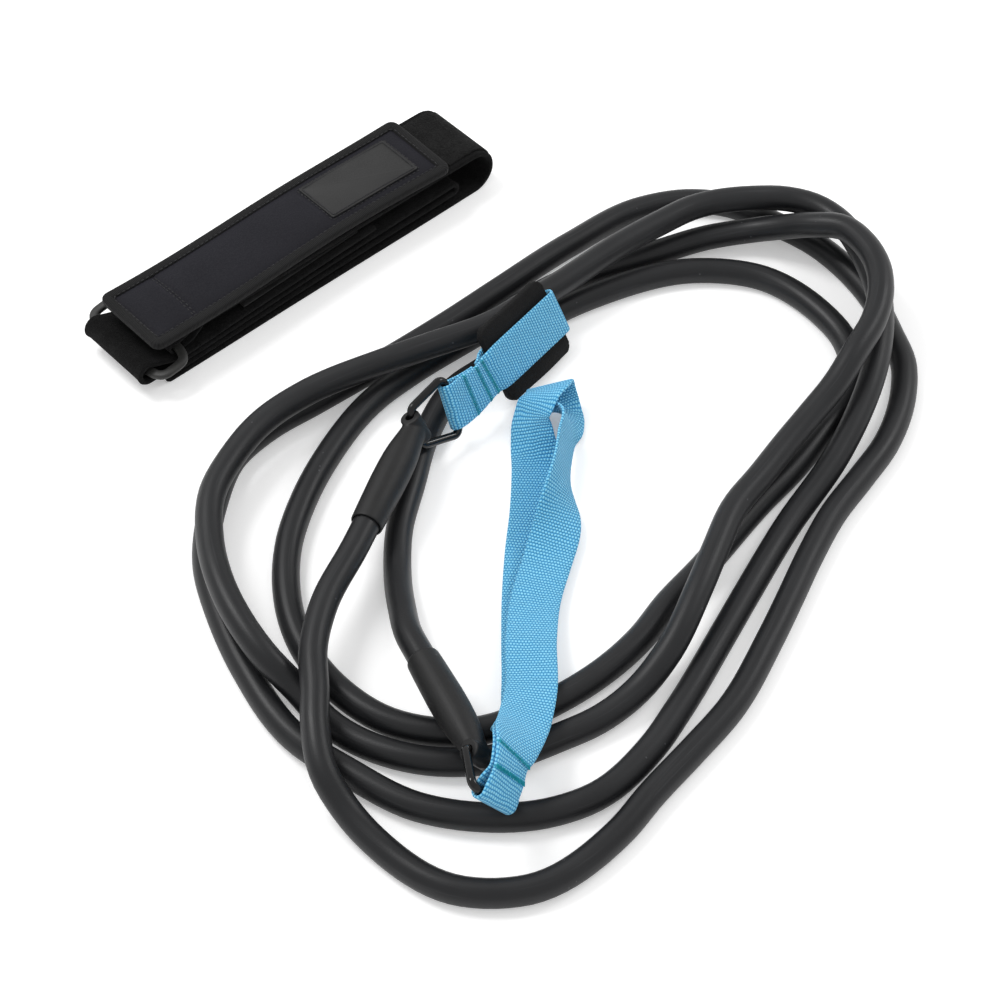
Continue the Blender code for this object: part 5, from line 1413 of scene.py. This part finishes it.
rim = closed_strip(patch_frame @ raised(RIM_RISE), rim_line, bead_section(RIM_WIDTH, RIM_HEIGHT, 8))
settle(rim)
finish_piece(rim, "patch_rim", "belt", black_thread, angle=40)

# %% [markdown]
# **Stitches** are drawn one by one. One stitch is a squashed sphere, sunk halfway into the
# cloth; every row is that same stitch copied along a line.

# %% Stitches
STITCH_SIZES = (0.00030, 0.00038, 0.0012)
STITCH_SPACING = 0.0030
STITCH_RISE = 0.0001
deselect_all()
bpy.ops.mesh.primitive_uv_sphere_add(segments=6, ring_count=4, radius=1.0)
stitch_pattern = bpy.context.object
stitch_pattern.rotation_euler = (0.0, math.pi / 2, 0.0)
stitch_pattern.scale = STITCH_SIZES
apply_place()


def sew(name, places, nodes=()):
    """Copies the stitch to each place: x, y, z and heading, in the panel's frame."""
    form = bmesh.new()
    for x, y, z, heading in places:
        start = len(form.verts)
        form.from_mesh(stitch_pattern.data)
        form.verts.ensure_lookup_table()
        turn = Matrix.Translation((x, y, z)) @ Matrix.Rotation(heading, 4, "Z")
        bmesh.ops.transform(form, matrix=turn, verts=form.verts[start:])
    row = object_from(form, name)
    put_in_place(row, panel_frame)
    settle(row)
    finish_piece(row, name, "belt", black_thread, nodes)


def along_outline(outline, spacing, height):
    """Places for stitches along a closed outline, at a height given by a rule."""
    loop = np.array(outline + outline[:1])
    runs = np.linalg.norm(np.diff(loop, axis=0), axis=1)
    total = runs.sum()
    places = np.concatenate([[0.0], np.cumsum(runs)])
    made = []
    for place in np.arange(0, total, total / int(total / spacing)):
        x, y = np.interp(place, places, loop[:, 0]), np.interp(place, places, loop[:, 1])
        i = min(len(runs) - 1, int(np.searchsorted(places, place, side="right")) - 1)
        heading = math.atan2(loop[i + 1][1] - loop[i][1], loop[i + 1][0] - loop[i][0])
        made.append((x, y, height(x, y), heading))
    return made

# %% [markdown]
# Three pieces are sewn: the row just inside the binding, the one round the patch and the double
# row across the panel.

# %% Rows of stitches
BINDING_STITCHES = (PANEL_LENGTH - 2 * BINDING_WIDTH + 0.001, 0.0392, 0.003)
PATCH_STITCHES = (0.0616, 0.0316, 0.002)
ROW_HALF_GAP = 0.0008
ROW_PLACES = np.arange(-0.0165, 0.0170, STITCH_SPACING)
binding_places = along_outline(rounded_outline(*BINDING_STITCHES), 0.0031,
                               lambda x, y: BINDING_THICKNESS - 0.0004)
sew("binding_stitches", binding_places)
patch_line = [(x + PATCH_X, y) for x, y in rounded_outline(*PATCH_STITCHES)]
patch_places = along_outline(patch_line, STITCH_SPACING, lambda x, y: panel_top(x, y) + STITCH_RISE)
sew("patch_stitches", patch_places, ["patch_stitching"])
row_places = [(x, y, panel_top(x, y) + STITCH_RISE, math.pi / 2)
              for x in (ROW_X - ROW_HALF_GAP, ROW_X + ROW_HALF_GAP) for y in ROW_PLACES]
sew("row_stitches", row_places, ["belt_row_stitch"])
bpy.data.objects.remove(stitch_pattern, do_unlink=True)

# %% [markdown]
# **Light and floor.** The photograph is a product shot on white: soft light from above and from
# the upper left, and almost no shadow. A pale world fills every side at a plain level, and one
# large soft lamp gives the long highlights on the tube. The floor is a real surface that takes
# the shadow; for the camera it also glows faintly, so that it reads as white.

# %% Light, floor and world
FILL = 0.76
KEY_WATTS, SIDE_WATTS = 14.0, 5.6
FLOOR_SIZE, FLOOR_TONE, FLOOR_GLOW = 12.0, 0.92, 0.30
floor = basic_shape(bpy.ops.mesh.primitive_plane_add, size=FLOOR_SIZE)
floor.name = "floor"
floor_paint = bpy.data.materials.new("floor_paint")
floor_paint.use_nodes = True
tree = floor_paint.node_tree
tree.nodes.clear()
matt = add(tree, "ShaderNodeBsdfDiffuse", {"Color": (FLOOR_TONE, FLOOR_TONE, FLOOR_TONE, 1.0)})
rays = add(tree, "ShaderNodeLightPath")
seen = sums(tree, "MAXIMUM", rays.outputs["Is Camera Ray"],
            sums(tree, "MAXIMUM", rays.outputs["Is Glossy Ray"], rays.outputs["Is Transmission Ray"]))
glow = add(tree, "ShaderNodeEmission",
           {"Color": (1.0, 1.0, 1.0, 1.0), "Strength": times(tree, seen, FLOOR_GLOW)})
both = add(tree, "ShaderNodeAddShader", {0: matt.outputs[0], 1: glow.outputs[0]})
tree.links.new(both.outputs[0], add(tree, "ShaderNodeOutputMaterial").inputs["Surface"])
floor.data.materials.append(floor_paint)

world = bpy.data.worlds.new("world")
scene.world = world
world.use_nodes = True
tree = world.node_tree
background = tree.nodes["Background"]
background.inputs["Color"].default_value = (1.0, 1.0, 1.0, 1.0)
rays = add(tree, "ShaderNodeLightPath")
seen = sums(tree, "MAXIMUM", rays.outputs["Is Camera Ray"], rays.outputs["Is Transmission Ray"])
strength = plus(tree, times(tree, seen, 1.0 - FILL), FILL)
tree.links.new(strength, background.inputs["Strength"])


def soft_lamp(name, place, size, watts):
    """A round soft lamp that looks at the middle of the floor."""
    data = bpy.data.lights.new(name, "AREA")
    data.shape = "DISK"
    data.size = size
    data.energy = watts
    lamp = bpy.data.objects.new(name, data)
    scene.collection.objects.link(lamp)
    lamp.location = place
    lamp.rotation_euler = (-Vector(place)).to_track_quat("-Z", "Y").to_euler()


soft_lamp("key", (-0.9, 0.5, 1.5), 0.7, KEY_WATTS)
soft_lamp("side", (1.2, 0.7, 1.1), 0.5, SIDE_WATTS)
